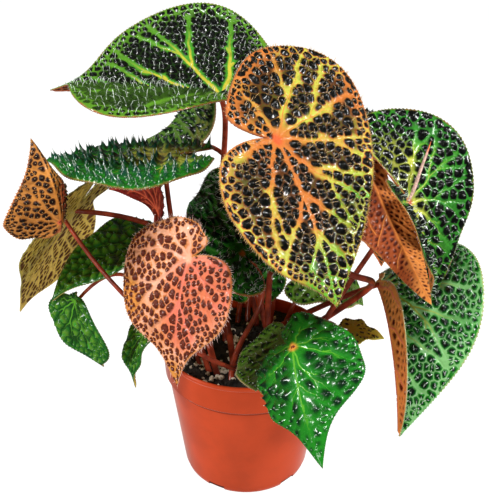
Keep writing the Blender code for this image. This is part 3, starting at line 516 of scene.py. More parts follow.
def earth_finish():
    """Dark peat with lighter fibres."""
    earth = bpy.context.scene.begonia_soil.earth
    coat = Finish("potting_soil")
    colour = coat.mix(coat.rise(coat.grain(240.0, 6.0, 0.7), 0.35, 0.7), shade(earth, 0.25), shade(earth))
    return coat.done(colour, 0.92, (coat.grain(900.0, 5.0, 0.7), 0.9, 0.8 * MM))


def perlite_finish():
    """Chalky white grains with soil stains."""
    base = shade(bpy.context.scene.begonia_soil.perlite)
    coat = Finish("perlite")
    dirty = (base[0] * 0.45, base[1] * 0.36, base[2] * 0.28, 1.0)
    colour = coat.mix(coat.rise(coat.grain(300.0, 4.0), 0.5, 0.68), base, dirty)
    return coat.done(colour, 0.85, (coat.grain(1600.0, 3.0), 0.6, 0.3 * MM))


def stalk_finish():
    """Red-brown, faintly streaked and glossy stalk skin."""
    colours = bpy.context.scene.begonia_stalk
    coat = Finish("stalk_skin")
    fleck = coat.grain(1100.0, 3.0)
    colour = coat.mix(coat.rise(coat.grain(60.0), 0.38, 0.62), shade(colours.brown), shade(colours.red))
    colour = coat.mix(coat.rise(fleck, 0.62, 0.74, 0.0, 0.6), colour, shade(colours.red, 1.7, 0.03))
    return coat.done(colour, 0.36, (fleck, 0.25, 0.2 * MM), Specular_IOR_Level=0.15, Coat_Weight=0.45,
                  Coat_Roughness=0.14)


def bract_finish():
    """Papery pink skin with faint streaks, orange towards the tip."""
    colours = bpy.context.scene.begonia_stalk
    coat = Finish("bract_skin")
    fleck = coat.grain(700.0, 4.0)
    colour = coat.mix(coat.rise(fleck, 0.4, 0.65), shade(colours.bract, 0.55), shade(colours.bract))
    colour = coat.mix(coat.rise(coat.painted("tip"), 0.1, 0.7), colour, shade(colours.bract_tip))
    return coat.done(colour, 0.6, (fleck, 0.4, 0.3 * MM), Specular_IOR_Level=0.2)


def paper_finish():
    """Matt white studio paper, lit a little from within so that it stays white to the horizon."""
    paper = bpy.context.scene.begonia_stage.paper
    coat = Finish("studio_paper")
    return coat.done(coat.mix(coat.grain(900.0, 2.0), shade(paper, 0.985), shade(paper)), 0.9, None,
                  Emission_Color=WHITE, Emission_Strength=0.96)


# Small steps of modelling


def deselect():
    for item in bpy.context.scene.objects:
        item.select_set(False)


def take_up(name):
    """Names the object just added and returns it."""
    piece = bpy.context.active_object
    piece.name = piece.data.name = name
    return piece


def dress_piece(piece, material, slot=None, *nodes):
    """Gives a piece its material and its body, and hides the CAD nodes it stands over; slot is not used."""
    piece.data.materials.clear()
    piece.data.materials.append(material)
    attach(piece, "root")
    if nodes:
        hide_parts(*nodes)


def turn_solid(name, sides, radius, height, rings):
    """Closed round solid: a disc extruded along (radius, height) steps and capped; all in millimetres."""
    deselect()
    bpy.ops.mesh.primitive_circle_add(vertices=sides, radius=radius * MM, fill_type="TRIFAN",
                                      location=(0.0, 0.0, height * MM))
    piece = take_up(name)
    bpy.ops.object.transform_apply(location=True)
    bpy.ops.object.mode_set(mode="EDIT")
    bpy.ops.mesh.select_all(action="SELECT")
    bpy.ops.mesh.region_to_loop()
    for wide, high in rings:
        bpy.ops.mesh.extrude_region_move(TRANSFORM_OT_translate={"value": (0.0, 0.0, (high - height) * MM)})
        share = wide / radius
        bpy.ops.transform.resize(value=(share, share, 1.0), center_override=(0.0, 0.0, high * MM))
        radius, height = wide, high
    bpy.ops.mesh.edge_face_add()
    bpy.ops.mesh.select_all(action="SELECT")
    bpy.ops.mesh.normals_make_consistent(inside=False)
    bpy.ops.object.mode_set(mode="OBJECT")
    return piece


def draw_stem(name, knots, thick, steps, sides):
    """Mesh of a tapered Bezier curve. A knot is its centre, its two handles or None, and its radius."""
    deselect()
    bpy.ops.curve.primitive_bezier_curve_add()
    curve = take_up(name)
    spline = curve.data.splines[0]
    spline.bezier_points.add(len(knots) - 2)
    for point, (centre, handles, radius) in zip(spline.bezier_points, knots):
        point.handle_left_type = point.handle_right_type = "FREE" if handles else "AUTO"
        point.co = centre * MM
        if handles:
            point.handle_left, point.handle_right = (handle * MM for handle in handles)
        point.radius = radius
    curve.data.dimensions = "3D"
    curve.data.resolution_u = steps
    curve.data.bevel_depth = thick * MM
    curve.data.bevel_resolution = sides
    curve.data.use_fill_caps = True
    bpy.ops.object.convert(target="MESH")
    stem = take_up(name)
    bpy.ops.object.transform_apply(location=True, rotation=True, scale=True)
    bpy.ops.object.shade_smooth()
    return stem


def new_mesh(name, points, faces):
    """One object from points in millimetres, smooth shaded."""
    mesh = bpy.data.meshes.new(name)
    mesh.vertices.add(len(points))
    mesh.vertices.foreach_set("co", (np.asarray(points) * MM).ravel())
    mesh.loops.add(3 * len(faces))
    mesh.loops.foreach_set("vertex_index", np.asarray(faces, dtype=np.int32).ravel())
    mesh.polygons.add(len(faces))
    mesh.polygons.foreach_set("loop_start", np.arange(0, 3 * len(faces), 3, dtype=np.int32))
    mesh.update(calc_edges=True)
    mesh.polygons.foreach_set("use_smooth", np.ones(len(faces), dtype=bool))
    piece = bpy.data.objects.new(name, mesh)
    bpy.context.scene.collection.objects.link(piece)
    return piece


def paint(piece, name, values):
    layer = piece.data.attributes.new(name, "FLOAT", "POINT")
    layer.data.foreach_set("value", np.asarray(values, dtype=np.float32))


# The blade's form; flat points are along and across the blade before it is folded, in millimetres


def far_out(flat):
    return np.hypot(flat[:, 0], flat[:, 1])


def rays(angle):
    return np.stack([np.cos(angle), np.sin(angle)], axis=1)


def by_half(flat, values):
    """The left or the right half's value for each flat point, where one value serves for both."""
    return np.where(flat[:, 1] >= 0.0, *np.broadcast_to(values, 2))


def gaps(points, targets):
    """Distance from each point to each target."""
    return np.hypot(points[:, 0, None] - targets[None, :, 0], points[:, 1, None] - targets[None, :, 1])


def nearest(points, targets):
    """Distance from each point to its nearest target, and which target that is."""
    found = []
    for start in range(0, max(len(points), 1), CHUNK):
        gap = gaps(points[start:start + CHUNK], targets)
        found.append((gap.min(axis=1), gap.argmin(axis=1)))
    return [np.concatenate(part) for part in zip(*found)]


def outline_radius(leaf, angle):
    """Outline radius about the stalk's point as a share of the length, for an array of angles."""
    left_span = math.radians(leaf.span)
    on_left = angle >= 0.0
    span = np.where(on_left, left_span, TURN - left_span)
    knots = np.array([[leaf.shoulder, *side, 0.8 * side[2]] for side in (leaf.left, leaf.right)])
    slopes = np.zeros((2, 5))
    slopes[:, 0] = 4.0 * (knots[:, 1] - knots[:, 0])
    slopes[:, 1:4] = 2.0 * (knots[:, 2:] - knots[:, :-2])
    slopes[:, 4] = 4.0 * (knots[:, 4] - knots[:, 3])
    turn = np.abs(angle)
    part = np.clip(turn / span, 0.0, 1.0) * 4.0
    i = np.minimum(part.astype(int), 3)
    u = part - i
    side = np.where(on_left, 0, 1)
    radius = (2 * u**3 - 3 * u**2 + 1) * knots[side, i] + (u**3 - 2 * u**2 + u) * 0.25 * slopes[side, i]
    radius += (3 * u**2 - 2 * u**3) * knots[side, i + 1] + (u**3 - u**2) * 0.25 * slopes[side, i + 1]
    radius += (1.0 - leaf.shoulder) * np.exp(-turn / math.radians(TIP_ANGLE))
    return radius * (1.0 - SINUS_DEPTH * np.exp(-((span - turn) / math.radians(SINUS_ANGLE)) ** 2))


def edge_share(leaf, flat):
    """How far out flat points lie, from 0 at the stalk to 1 at the margin, without crossing the sinus."""
    angle = np.arctan2(flat[:, 1], flat[:, 0])
    left_span = math.radians(leaf.span)
    angle = np.where(angle > left_span, angle - TURN, angle)
    angle = np.where(angle < left_span - TURN, angle + TURN, angle)
    return far_out(flat) / (leaf.length * outline_radius(leaf, angle))


def margin_wave(flat, share=1.0):
    """How far the waved margin lifts flat points."""
    return MARGIN_WAVE * share * np.sin(MARGIN_WAVES * np.arctan2(flat[:, 1], flat[:, 0]))


def arc(start, rate, reach):
    """Where a walk of the given reach ends when its slope starts at start and grows by rate."""
    end = start + rate * reach
    return (np.sin(end) - np.sin(start)) / rate, (np.cos(start) - np.cos(end)) / rate, end


def leaf_axes(leaf):
    heading, dip, roll = (math.radians(a) for a in leaf.turn)
    return Matrix.Rotation(heading, 3, "Z") @ Matrix.Rotation(dip, 3, "Y") @ Matrix.Rotation(roll, 3, "X")


def blade_points(leaf, flat, height):
    """Folds, curls, droops and places flat points that lie at the given heights."""
    along, across = flat[:, 0], flat[:, 1]
    i = np.where(across >= 0.0, 0, 1)
    side = np.where(across >= 0.0, 1.0, -1.0)
    fold = np.radians(np.array(leaf.fold, dtype=float))[i]
    curl = (np.radians(np.array(leaf.curl, dtype=float)) / leaf.length)[i]
    curl = np.where(np.abs(curl) < 1e-5, 1e-5, curl)
    out, up, slope = arc(fold, curl, np.abs(across))
    middle = math.radians(leaf.fold[0] - leaf.fold[1]) / 2.0
    share = np.minimum(np.abs(across) / MIDRIB_ROUND, 1.0)
    tilt = share * side * slope + (1.0 - share) * middle
    valley = max(0.6, math.cos(math.radians(sum(leaf.fold)) / 2.0))
    lift = height * (share + (1.0 - share) / valley)
    y = side * out - lift * np.sin(tilt)
    z = up + lift * np.cos(tilt)
    forward, down, bend = arc(0.0, math.radians(leaf.droop) / leaf.length, along)
    x = forward + z * np.sin(bend)
    z = z * np.cos(bend) - down
    turned = np.stack([x, y, z], axis=1) @ np.array(leaf_axes(leaf)).T
    return turned + np.array(leaf.base, dtype=float)


def margin_line(leaf, step, tooth):
    """Outline of the flat blade at even steps, with teeth, and the fine smooth line it is taken from."""
    left_span = math.radians(leaf.span)
    angle = np.linspace(left_span - TURN + 0.001, left_span - 0.001, OUTLINE_STEPS)
    fine = rays(angle) * (leaf.length * outline_radius(leaf, angle))[:, None]
    walk = np.concatenate([[0.0], np.cumsum(far_out(np.diff(fine, axis=0)))])
    tip = int(np.argmin(np.abs(angle)))
    picked = []
    for first, last in ((0, tip), (tip, len(fine) - 1)):
        count = max(6, round((walk[last] - walk[first]) / step))
        goals = np.linspace(walk[first], walk[last], count + 1)[:-1]
        picked += [min(int(np.searchsorted(walk, goal)), last) for goal in goals]
    picked.append(len(fine) - 1)
    loop = fine[picked]
    depth = TOOTH_DEPTH * np.cos(TURN * (walk[picked] / tooth)) * np.minimum(1.0, np.abs(angle[picked]) / 0.2)
    depth[:3] = depth[-3:] = 0.0
    reach = far_out(loop)
    return loop * ((reach + depth) / reach)[:, None], fine[::8]


def vein_lines(leaf, dress, dice):
    """Midrib, side veins and their forks as flat points with a half width each."""
    steps = np.linspace(0.0, 1.0, int(leaf.length / 1.1))
    scale = (0.6 + 0.0045 * leaf.length) * dress.girth
    midrib, side_vein, forked = ((start - loss * steps) * scale for start, loss in VEIN_WIDTHS)
    lines = [(np.stack([steps * 0.97 * leaf.length, np.zeros(len(steps))], axis=1), midrib)]

    def wander(line, heading):
        waves = [size * np.sin(steps * rate + dice.uniform(0.0, 6.28)) for size, rate in VEIN_WAVES]
        swing = (sum(waves) * np.minimum(6.0 * steps, 1.0))[:len(line), None]
        return line + swing * np.array([-math.sin(heading), math.cos(heading)])

    for first, last, reach in dress.veins:
        bend = math.radians(first) + math.radians(last - first) * steps**0.8
        limit = leaf.length * outline_radius(leaf, bend)
        line = rays(bend) * (steps * reach * limit[-1])[:, None]
        lines.append((wander(line, math.radians(last)), side_vein))
    forks = [(lines[0][0], share, swing, 0.0) for share, swing in MIDRIB_FORKS]
    for (first, last, _), (line, _) in zip(dress.veins, lines[1:]):
        forks += [(line, share, math.copysign(1.0, first) * swing, last) for share, swing in SIDE_FORKS]
    for line, share, swing, heading in forks:
        heading = math.radians(heading + swing)
        run = steps * 0.45 * leaf.length
        fork = line[int(share * len(line))] + np.stack([run * np.cos(heading), run * np.sin(heading)], axis=1)
        fork = wander(fork, heading)
        clear, _ = nearest(fork, np.concatenate([other for other, _ in lines]))
        stops = (edge_share(leaf, fork) > 0.9) | ((clear < FORK_CLEAR) & (run > 6.0))
        stop = int(np.argmax(stops)) if stops.any() else len(fork)
        if stop > 7:
            lines.append((fork[:stop], forked[:stop]))
    return [np.concatenate(part) for part in zip(*lines)]


def place_bullae(leaf, dress, edge_line, veins, widths, dice):
    """Centres of the bullae: large ones first and small ones in the gaps left."""
    centres, sizes = np.zeros((MOST_BULLAE, 2)), np.zeros(MOST_BULLAE)
    found = 0
    for share, count in BULLA_ROUNDS:
        pitch = share * dress.pitch
        number = int(count * (2.0 * leaf.length / pitch) ** 2 / 4.0)
        tries = dice.uniform(-1.02 * leaf.length, 1.02 * leaf.length, (number, 2))
        tries = tries[edge_share(leaf, tries) < 1.0]
        edge, _ = nearest(tries, edge_line)
        vein, which = nearest(tries, veins)
        want = pitch * (0.62 + 0.38 * np.minimum(edge / (2.2 * dress.pitch), 1.0))
        want = want * dice.uniform(0.88, 1.12, len(tries))
        fits = (edge > 0.45 * want) & (vein > 0.36 * want + 0.8 * widths[which])
        for spot, size in zip(tries[fits], want[fits]):
            gap = far_out(centres[:found] - spot)
            if not (gap < 0.46 * (sizes[:found] + size)).any():
                centres[found], sizes[found] = spot, size
                found += 1
    return centres[:found]


def cell_borders(centres):
    """Corners and edge points of the net of even borders between the bullae."""
    found, _, triangles, _, _, _ = delaunay_2d_cdt([Vector(c) for c in centres], [], [], 0, 0.001)
    corners, sides = {}, {}
    for number, (a, b, c) in enumerate(triangles):
        (ax, ay), (bx, by), (cx, cy) = (tuple(found[k]) for k in (a, b, c))
        twice = 2.0 * (ax * (by - cy) + bx * (cy - ay) + cx * (ay - by))
        if abs(twice) < 1e-6:
            continue
        aa, bb, cc = ax * ax + ay * ay, bx * bx + by * by, cx * cx + cy * cy
        corners[number] = np.array([(aa * (by - cy) + bb * (cy - ay) + cc * (ay - by)) / twice,
                                    (aa * (cx - bx) + bb * (ax - cx) + cc * (bx - ax)) / twice])
        for pair in ((a, b), (b, c), (c, a)):
            sides.setdefault(tuple(sorted(pair)), []).append(number)
    points = list(corners.values())
    for pair in sides.values():
        if len(pair) == 2:
            first, second = corners[pair[0]], corners[pair[1]]
            count = min(int(np.hypot(*(second - first)) / 0.95), 8)
            points += [first + (second - first) * k / (count + 1.0) for k in range(1, count + 1)]
    return np.array(points)


def net_points(leaf, centres, edge_line, veins, widths, dice):
    """Points of the flat blade: veins, borders of the cells, rings in each cell, and fillers."""
    run = np.gradient(veins, axis=0)
    run = run / np.maximum(far_out(run), 1e-6)[:, None]
    beside = np.stack([-run[:, 1], run[:, 0]], axis=1) * (1.05 * widths)[:, None]
    found = [centres, veins, veins + beside, veins - beside, cell_borders(centres)]
    others = np.argsort(gaps(centres, centres), axis=1)[:, 1:10]
    for share, count in CELL_RINGS:
        start = dice.uniform(0.0, TURN, len(centres))
        for k in range(count):
            ray = rays(start + TURN * k / count)
            reach = np.full(len(centres), 0.62 * DRESS[leaf.name].pitch)
            for other in others.T:
                away = centres[other] - centres
                far = far_out(away)
                facing = (away * ray).sum(axis=1) / far
                reach = np.where(facing > 0.1, np.minimum(reach, 0.5 * far / np.maximum(facing, 0.1)), reach)
            found.append(centres + ray * (share * reach)[:, None])
    count = int(1.1 * leaf.length / FILL_PITCH) + 2
    i, j = np.meshgrid(np.arange(-2 * count, 2 * count + 1), np.arange(-count, count + 1))
    fillers = np.stack([FILL_PITCH * (i + 0.5 * (j % 2)).ravel(), 0.87 * FILL_PITCH * j.ravel()], axis=1)
    kept, cells = [], set()
    for group, near in [(group, (0,)) for group in found] + [(fillers, (-2, -1, 0, 1, 2))]:
        for point in group[edge_share(leaf, group) < 1.0]:
            x, y = (math.floor(c / POINT_STEP) for c in point)
            if not any((x + a, y + b) in cells for a in near for b in near):
                cells.add((x, y))
                kept.append(point)
    points = np.array(kept)
    return points[nearest(points, edge_line)[0] > 0.7]


def cell_shares(flat, centres):
    """For each flat point: its bulla, how far up it lies from 0 to 1, and the way to the border."""
    found = []
    for start in range(0, len(flat), CHUNK):
        gap = gaps(flat[start:start + CHUNK], centres)
        pair = np.argpartition(gap, 1, axis=1)[:, :2]
        reach = np.take_along_axis(gap, pair, axis=1)
        swap = reach[:, 0] > reach[:, 1]
        pair[swap] = pair[swap][:, ::-1]
        reach[swap] = reach[swap][:, ::-1]
        near, far = reach.T
        between = far_out(centres[pair[:, 0]] - centres[pair[:, 1]])
        found.append((pair[:, 0], (far - near) / (far + near), (far**2 - near**2) / (2.0 * between)))
    return [np.concatenate(part) for part in zip(*found)]


def disc_share(leaf, discs, flat):
    """How far each flat point lies inside soft discs, from 0 to 1."""
    share = np.zeros(len(flat))
    for along, across, radius in discs:
        away = np.hypot(flat[:, 0] / leaf.length - along, flat[:, 1] / leaf.length - across) / radius
        share = np.maximum(share, np.clip((1.3 - away) / 0.7, 0.0, 1.0))
    return share * share * (3.0 - 2.0 * share)


def rim_faces(tris, count):
    """Faces that join the upper and the lower skin along the margin."""
    edges = np.concatenate([tris[:, [0, 1]], tris[:, [1, 2]], tris[:, [2, 0]]])
    keys = {(int(a), int(b)) for a, b in edges}
    rim = [(a, b) for a, b in keys if (b, a) not in keys]
    faces = [face for a, b in rim for face in ((b, a, count + a), (b, count + a, count + b))]
    return np.array(faces, dtype=np.int32)


def bristles(leaf, dress, tops, heights, loop, thickness, dice):
    """Bent, three-sided hairs on the tops of the bullae and round the margin: root, knee and tip."""
    hairs = []
    for k in range(dress.hairs):
        length = by_half(tops, dress.hair) * dice.uniform(0.6, 1.3, len(tops))
        ray = rays(dice.uniform(0.0, TURN, len(tops)))
        root = tops + ray * (0.9 if k else 0.0)
        low = heights + thickness / 2.0 - (1.0 if k else 0.3)
        hairs.append((np.column_stack([root, low]),
                      np.column_stack([root + ray * 0.25 * length[:, None], low + 0.3 + 0.55 * length]),
                      np.column_stack([root + ray * 0.8 * length[:, None], low + 0.3 + 0.8 * length])))
    margin = loop[4:-4]
    length = dress.fringe * dice.uniform(0.5, 1.3, len(margin))
    outward = margin / far_out(margin)[:, None]
    wave = margin_wave(margin)
    swing = dice.uniform(-0.35, 0.35, margin.shape) * length[:, None]
    high = wave + dice.uniform(-0.3, 0.5, len(margin)) * length
    knee = margin + outward * 0.5 * length[:, None] + 0.3 * swing
    hairs.append((np.column_stack([margin - 0.4 * outward, wave]),
                  np.column_stack([knee, wave + 0.6 * (high - wave)]),
                  np.column_stack([margin + outward * length[:, None] + swing, high])))
    roots, knees, tips = (np.concatenate(part) for part in zip(*hairs))
    rows = []
    for centre, radius in zip((roots, knees), BRISTLE_RADII):
        for angle in (TURN * k / 3.0 for k in range(3)):
            corner = centre[:, :2] + radius * np.array([math.cos(angle), math.sin(angle)])
            rows.append(blade_points(leaf, corner, centre[:, 2]))
    rows.append(blade_points(leaf, tips[:, :2], tips[:, 2]))
    base = 7 * np.arange(len(roots))[:, None]
    sides = [(0, 2, 1), (3, 4, 6), (4, 5, 6), (5, 3, 6)]
    for a, b in ((0, 1), (1, 2), (2, 0)):
        sides += [(a, b, b + 3), (a, b + 3, a + 3)]
    faces = np.concatenate([base + np.array(side) for side in sides]).astype(np.int32)
    return np.stack(rows, axis=1).reshape(-1, 3), faces


def bulla_heights(leaf, dress, centres, room, edge_line, dice):
    """Height of each bulla: lower where it has little room, near the midrib and near the margin."""
    aside = np.abs(centres[:, 1])
    tallness = by_half(centres, dress.cone) * np.clip(2.05 * room / dress.pitch, 0.3, 1.05)
    tallness = tallness * dice.uniform(0.8, 1.2, len(centres))
    if sum(leaf.fold) > CLOSED_FOLD:
        tallness *= np.interp(centres[:, 1], (0.0, 6.0, 16.0), (0.4, 0.45, 1.0))
    tallness *= np.interp(aside, (0.0, 3.0, 14.0), (0.3, 0.45, 1.0))
    if dress.sharp < 0.95:
        tallness *= np.interp(nearest(centres, edge_line)[0], (1.0, 8.0), (0.4, 1.0))
    return tallness


def build_blade(leaf, thickness, tooth, material):
    """One blade: even skin over bullae and veins, toothed margin, and bristles fused into the mesh."""
    dress = DRESS[leaf.name]
    dice = np.random.default_rng(sum(ord(c) for c in leaf.name))
    loop, edge_line = margin_line(leaf, tooth / 2.0, tooth)
    veins, widths = vein_lines(leaf, dress, dice)
    centres = place_bullae(leaf, dress, edge_line, veins, widths, dice)
    inner = net_points(leaf, centres, edge_line, veins, widths, dice)
    points, _, triangles, _, _, _ = delaunay_2d_cdt([Vector(p) for p in np.concatenate([loop, inner])], [],
                                                    [list(range(len(loop)))], 1, 0.01)
    flat = np.array([tuple(p) for p in points])
    tris = np.array(triangles, dtype=np.int32)
    count = len(flat)

    # How near each point is to the margin, to a vein and to the border of its bulla
    which, up, border = cell_shares(flat, centres)
    edge, _ = nearest(flat, edge_line)
    vein_gap, nearest_vein = nearest(flat, veins)
    width = widths[nearest_vein]
    vein_edge = vein_gap - 0.75 * width
    clear = np.minimum(edge - 0.35, vein_edge)
    up = np.minimum(up, np.clip(clear / (0.45 * dress.pitch), 0.0, 1.0))
    pairs = gaps(centres, centres)
    np.fill_diagonal(pairs, 1e9)
    room = 0.5 * np.sort(pairs, axis=1)[:, :3].mean(axis=1)
    border = np.minimum(border, (1.5 - 0.5 * dress.round) * room[which] - far_out(flat - centres[which]))
    border = np.clip(np.minimum(border, clear), 0.0, 4.0)

    # How high each point stands, and how far the bullae lean outward
    form = dress.sharp * up ** (1.1 + 0.7 * dress.sharp) + (1.0 - dress.sharp) * (1.0 - (1.0 - up) ** 2.2)
    height = form * bulla_heights(leaf, dress, centres, room, edge_line, dice)[which]
    vein = np.exp(-((vein_gap / width) ** 2))
    out = edge_share(leaf, flat)
    lift = height + margin_wave(flat, np.minimum(out, 1.05) ** 6) - VEIN_DEPTH * vein
    away = flat / np.maximum(far_out(flat), 1.0)[:, None]
    shifted = flat + away * (0.22 * dress.sharp * height)[:, None]
    _, top = nearest(centres, flat)
    spikes, spike_faces = bristles(leaf, dress, shifted[top], lift[top], loop, thickness, dice)

    skins = [blade_points(leaf, shifted, lift + side * thickness / 2.0) for side in (1.0, -1.0)]
    faces = np.concatenate([tris, tris[:, ::-1] + count, rim_faces(tris, count), spike_faces + 2 * count])
    blade = new_mesh("leaf_" + leaf.name, np.concatenate([*skins, spikes]), faces)
    none, bare = np.zeros(count), np.zeros(len(spikes))
    marks = {
        "bulla": up,
        "border": border,
        "deep": np.clip(np.minimum((edge - 4.0) / 9.0, (2.0 * vein_edge - 2.0) / 5.0), 0.0, 1.0),
        "vein": vein,
        "out": np.clip(out, 0.0, 1.0),
        "rim": np.exp(-edge / 0.9) * np.interp(flat[:, 0] / leaf.length, (0.75, 0.95), (1.0, 0.3)),
        "star": np.exp(-(far_out(flat) / (0.04 * leaf.length)) ** 2),
        "warm": disc_share(leaf, dress.warm, flat),
        "cool": disc_share(leaf, dress.cool, flat),
    }
    for name, value in marks.items():
        paint(blade, name, np.concatenate([value, value, bare]))
    paint(blade, "back", np.concatenate([none, none + 1.0, bare]))
    paint(blade, "hair", np.concatenate([none, none, bare + 1.0]))
    dress_piece(blade, material, "blade_" + leaf.name, "blade_" + leaf.name)


# Operators


class BEGONIA_OT_pot(bpy.types.Operator):
    """Nursery pot drawn up ring by ring, with its notches cut from the foot"""

    bl_idname = "begonia.pot"
    bl_label = "Pot"

    def execute(self, context):
        sizes = context.scene.begonia_pot
        height, rim, wall = sizes.height / MM, sizes.rim_radius / MM, sizes.wall / MM
        foot, hub, step = FOOT_RADIUS, 0.2 * FOOT_RADIUS, FOOT_RADIUS + 0.9
        band, body = height - BAND_HEIGHT, rim - 3.8
        outside = [(foot - 2.6, 0.0), (foot - 1.2, 0.5), (foot - 0.4, 1.6), (foot, 4.0), (foot + 0.15, 4.7),
                   (step, 5.4), (0.5 * (step + body), 0.5 * (5.4 + band)), (body, band - 1.0),
                   (body + 1.5, band - 0.6), (body + 2.0, band), (rim - 0.9, height - 3.4),
                   (rim - 0.2, height - 2.6), (rim, height - 1.6), (rim - 0.1, height - 0.5),
                   (rim - 0.5, height)]
        inside = [(rim - 1.6, height), (rim - 2.1, height - 0.6), (rim - 2.4, height - 1.8),
                  (rim - 1.7 - wall, band + 1.6), (body - wall, band - 0.8), (foot - wall, 3.8),
                  (foot - wall - 1.4, 2.2), (hub, 2.2)]
        pot = turn_solid("nursery_pot", sizes.sides, hub, 0.0, outside + inside)
        for angle in NOTCH_ANGLES:
            self.cut_notch(pot, math.radians(angle))
        deselect()
        pot.select_set(True)
        context.view_layer.objects.active = pot
        bpy.ops.object.shade_smooth_by_angle(angle=math.radians(32.0))
        dress_piece(pot, pot_finish(), "pot_plastic", "pot")
        return {"FINISHED"}

    def cut_notch(self, pot, angle):
        deselect()
        place = (FOOT_RADIUS * MM * math.cos(angle), FOOT_RADIUS * MM * math.sin(angle), 0.0)
        bpy.ops.mesh.primitive_cube_add(size=1.0, location=place, rotation=(0.0, 0.0, angle))
        cutter = take_up("notch")
        cutter.scale = [side * MM for side in NOTCH_BOX]
        bpy.ops.object.transform_apply(location=True, rotation=True, scale=True)
        modifier = pot.modifiers.new("notch", "BOOLEAN")
        modifier.object = cutter
        modifier.solver = "EXACT"
        bpy.context.view_layer.objects.active = pot
        bpy.ops.object.modifier_apply(modifier="notch")
        bpy.data.objects.remove(cutter)


class BEGONIA_OT_soil(bpy.types.Operator):
    """Lumpy potting soil with crumbs of peat and perlite grains"""

    bl_idname = "begonia.soil"
    bl_label = "Soil"

    def execute(self, context):
        sizes = context.scene.begonia_soil
        dice = np.random.default_rng(7)
        radius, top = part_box("soil")[1][0] / MM, sizes.top / MM
        rings = [(r, top) for r in np.arange(2.6, radius - 0.4, 1.5)]
        rings += [(radius, top - 0.3), (radius, top - 8.0), (54.0, 82.0), (44.0, 6.0), (42.0, 3.0),
                  (4.0, 3.0)]
        soil = turn_solid("soil_plug", 120, 1.2, top, rings)
        for vertex in soil.data.vertices:
            if vertex.co.z > (top - 0.2) * MM:
                vertex.co.z += self.lump(vertex.co.x, vertex.co.y)
        bpy.ops.object.shade_smooth()
        earth = earth_finish()
        dress_piece(soil, earth, "potting_soil", "soil")
        bed = (radius * MM, sizes.top, dice)
        crumbs = self.scatter("soil_crumbs", sizes.crumbs, 0.7, 2.3, 1, *bed, ())
        dress_piece(crumbs, earth, "potting_soil")
        grains = self.scatter("perlite_grains", sizes.grains, 0.9, 2.2, 2, *bed, NESTS)
        dress_piece(grains, perlite_finish(), "potting_soil")
        return {"FINISHED"}

    def lump(self, x, y):
        """Height of the lumpy surface over its mean, in metres."""
        broad = noise(Vector((60.0 * x, 60.0 * y, 0.3))) * 1.6
        return (broad + noise(Vector((260.0 * x, 260.0 * y, 1.7))) * 0.9) * MM

    def scatter(self, name, count, smallest, largest, divisions, radius, top, dice, nests):
        """Rough grains modelled once and copied over the surface, most of them round any nests."""
        deselect()
        bpy.ops.mesh.primitive_ico_sphere_add(subdivisions=divisions, radius=1.0)
        grain = take_up("grain")
        bpy.ops.object.mode_set(mode="EDIT")
        bpy.ops.mesh.select_all(action="SELECT")
        bpy.ops.transform.vertex_random(offset=0.22, seed=3)
        bpy.ops.object.mode_set(mode="OBJECT")
        corners = np.array([v.co for v in grain.data.vertices])
        sides = np.array([p.vertices for p in grain.data.polygons], dtype=np.int32)
        bpy.data.objects.remove(grain)
        points, faces = [], []
        for _ in range(count):
            angle, reach = dice.uniform(0.0, TURN), math.sqrt(dice.uniform(0.0, 1.0)) * (radius - 2.2 * MM)
            x, y = reach * math.cos(angle), reach * math.sin(angle)
            if nests and dice.uniform(0.0, 1.0) < 0.6:
                nest = nests[int(dice.integers(len(nests)))]
                x, y = ((c + dice.normal(0.0, 4.0)) * MM for c in nest)
                if math.hypot(x, y) > radius - 3.0 * MM:
                    continue
            size = dice.uniform(smallest, largest) * MM
            stretch = Matrix.Diagonal((size, size * dice.uniform(0.6, 1.0), size * dice.uniform(0.5, 0.9)))
            spin = Matrix.Rotation(dice.uniform(0.0, 6.28), 3, Vector(dice.uniform(-1.0, 1.0, 3)))
            centre = np.array([x, y, top + self.lump(x, y) + 0.25 * size])
            faces.append(sides + len(points) * len(corners))
            points.append(corners @ np.array(spin @ stretch).T + centre)
        return new_mesh(name, np.concatenate(points) / MM, np.concatenate(faces))


class BEGONIA_OT_stalks(bpy.types.Operator):
    """Tapered, bent stalks drawn as Bezier curves from the soil to each blade"""

    bl_idname = "begonia.stalks"
    bl_label = "Stalks"

    def execute(self, context):
        skin = stalk_finish()
        for leaf in LEAVES:
            self.grow(leaf, context.scene.begonia_stalk.sides, skin)
        return {"FINISHED"}

    def grow(self, leaf, sides, skin):
        forward, aside, normal = leaf_axes(leaf).col
        tilt, swing = (math.radians(a) for a in leaf.arrive)
        arrive = (normal * math.cos(tilt) * math.cos(swing) + forward * math.sin(tilt)
                  + aside * math.sin(swing))
        end = Vector(leaf.base) - normal * leaf.drop
        second = end - arrive.normalized() * leaf.reach
        start = Vector((*leaf.root, STALK_START))
        slope = Vector((*leaf.lean, 1.0))
        foot = start - slope.normalized() * STALK_FOOT
        boss = Vector(leaf.base) - normal * 0.1
        knots = [(foot, (foot, foot), 1.12), (start, (start, start + slope * leaf.rise), 1.04),
                 (end, (second, end), 0.8)]
        if leaf.drop >= 0.5:
            knots.append((boss, (boss, boss), 0.55))
        stem = draw_stem("stem_" + leaf.name, knots, leaf.stalk, 22, sides)
        dress_piece(stem, skin, "stalk_" + leaf.name, "stalk_" + leaf.name)


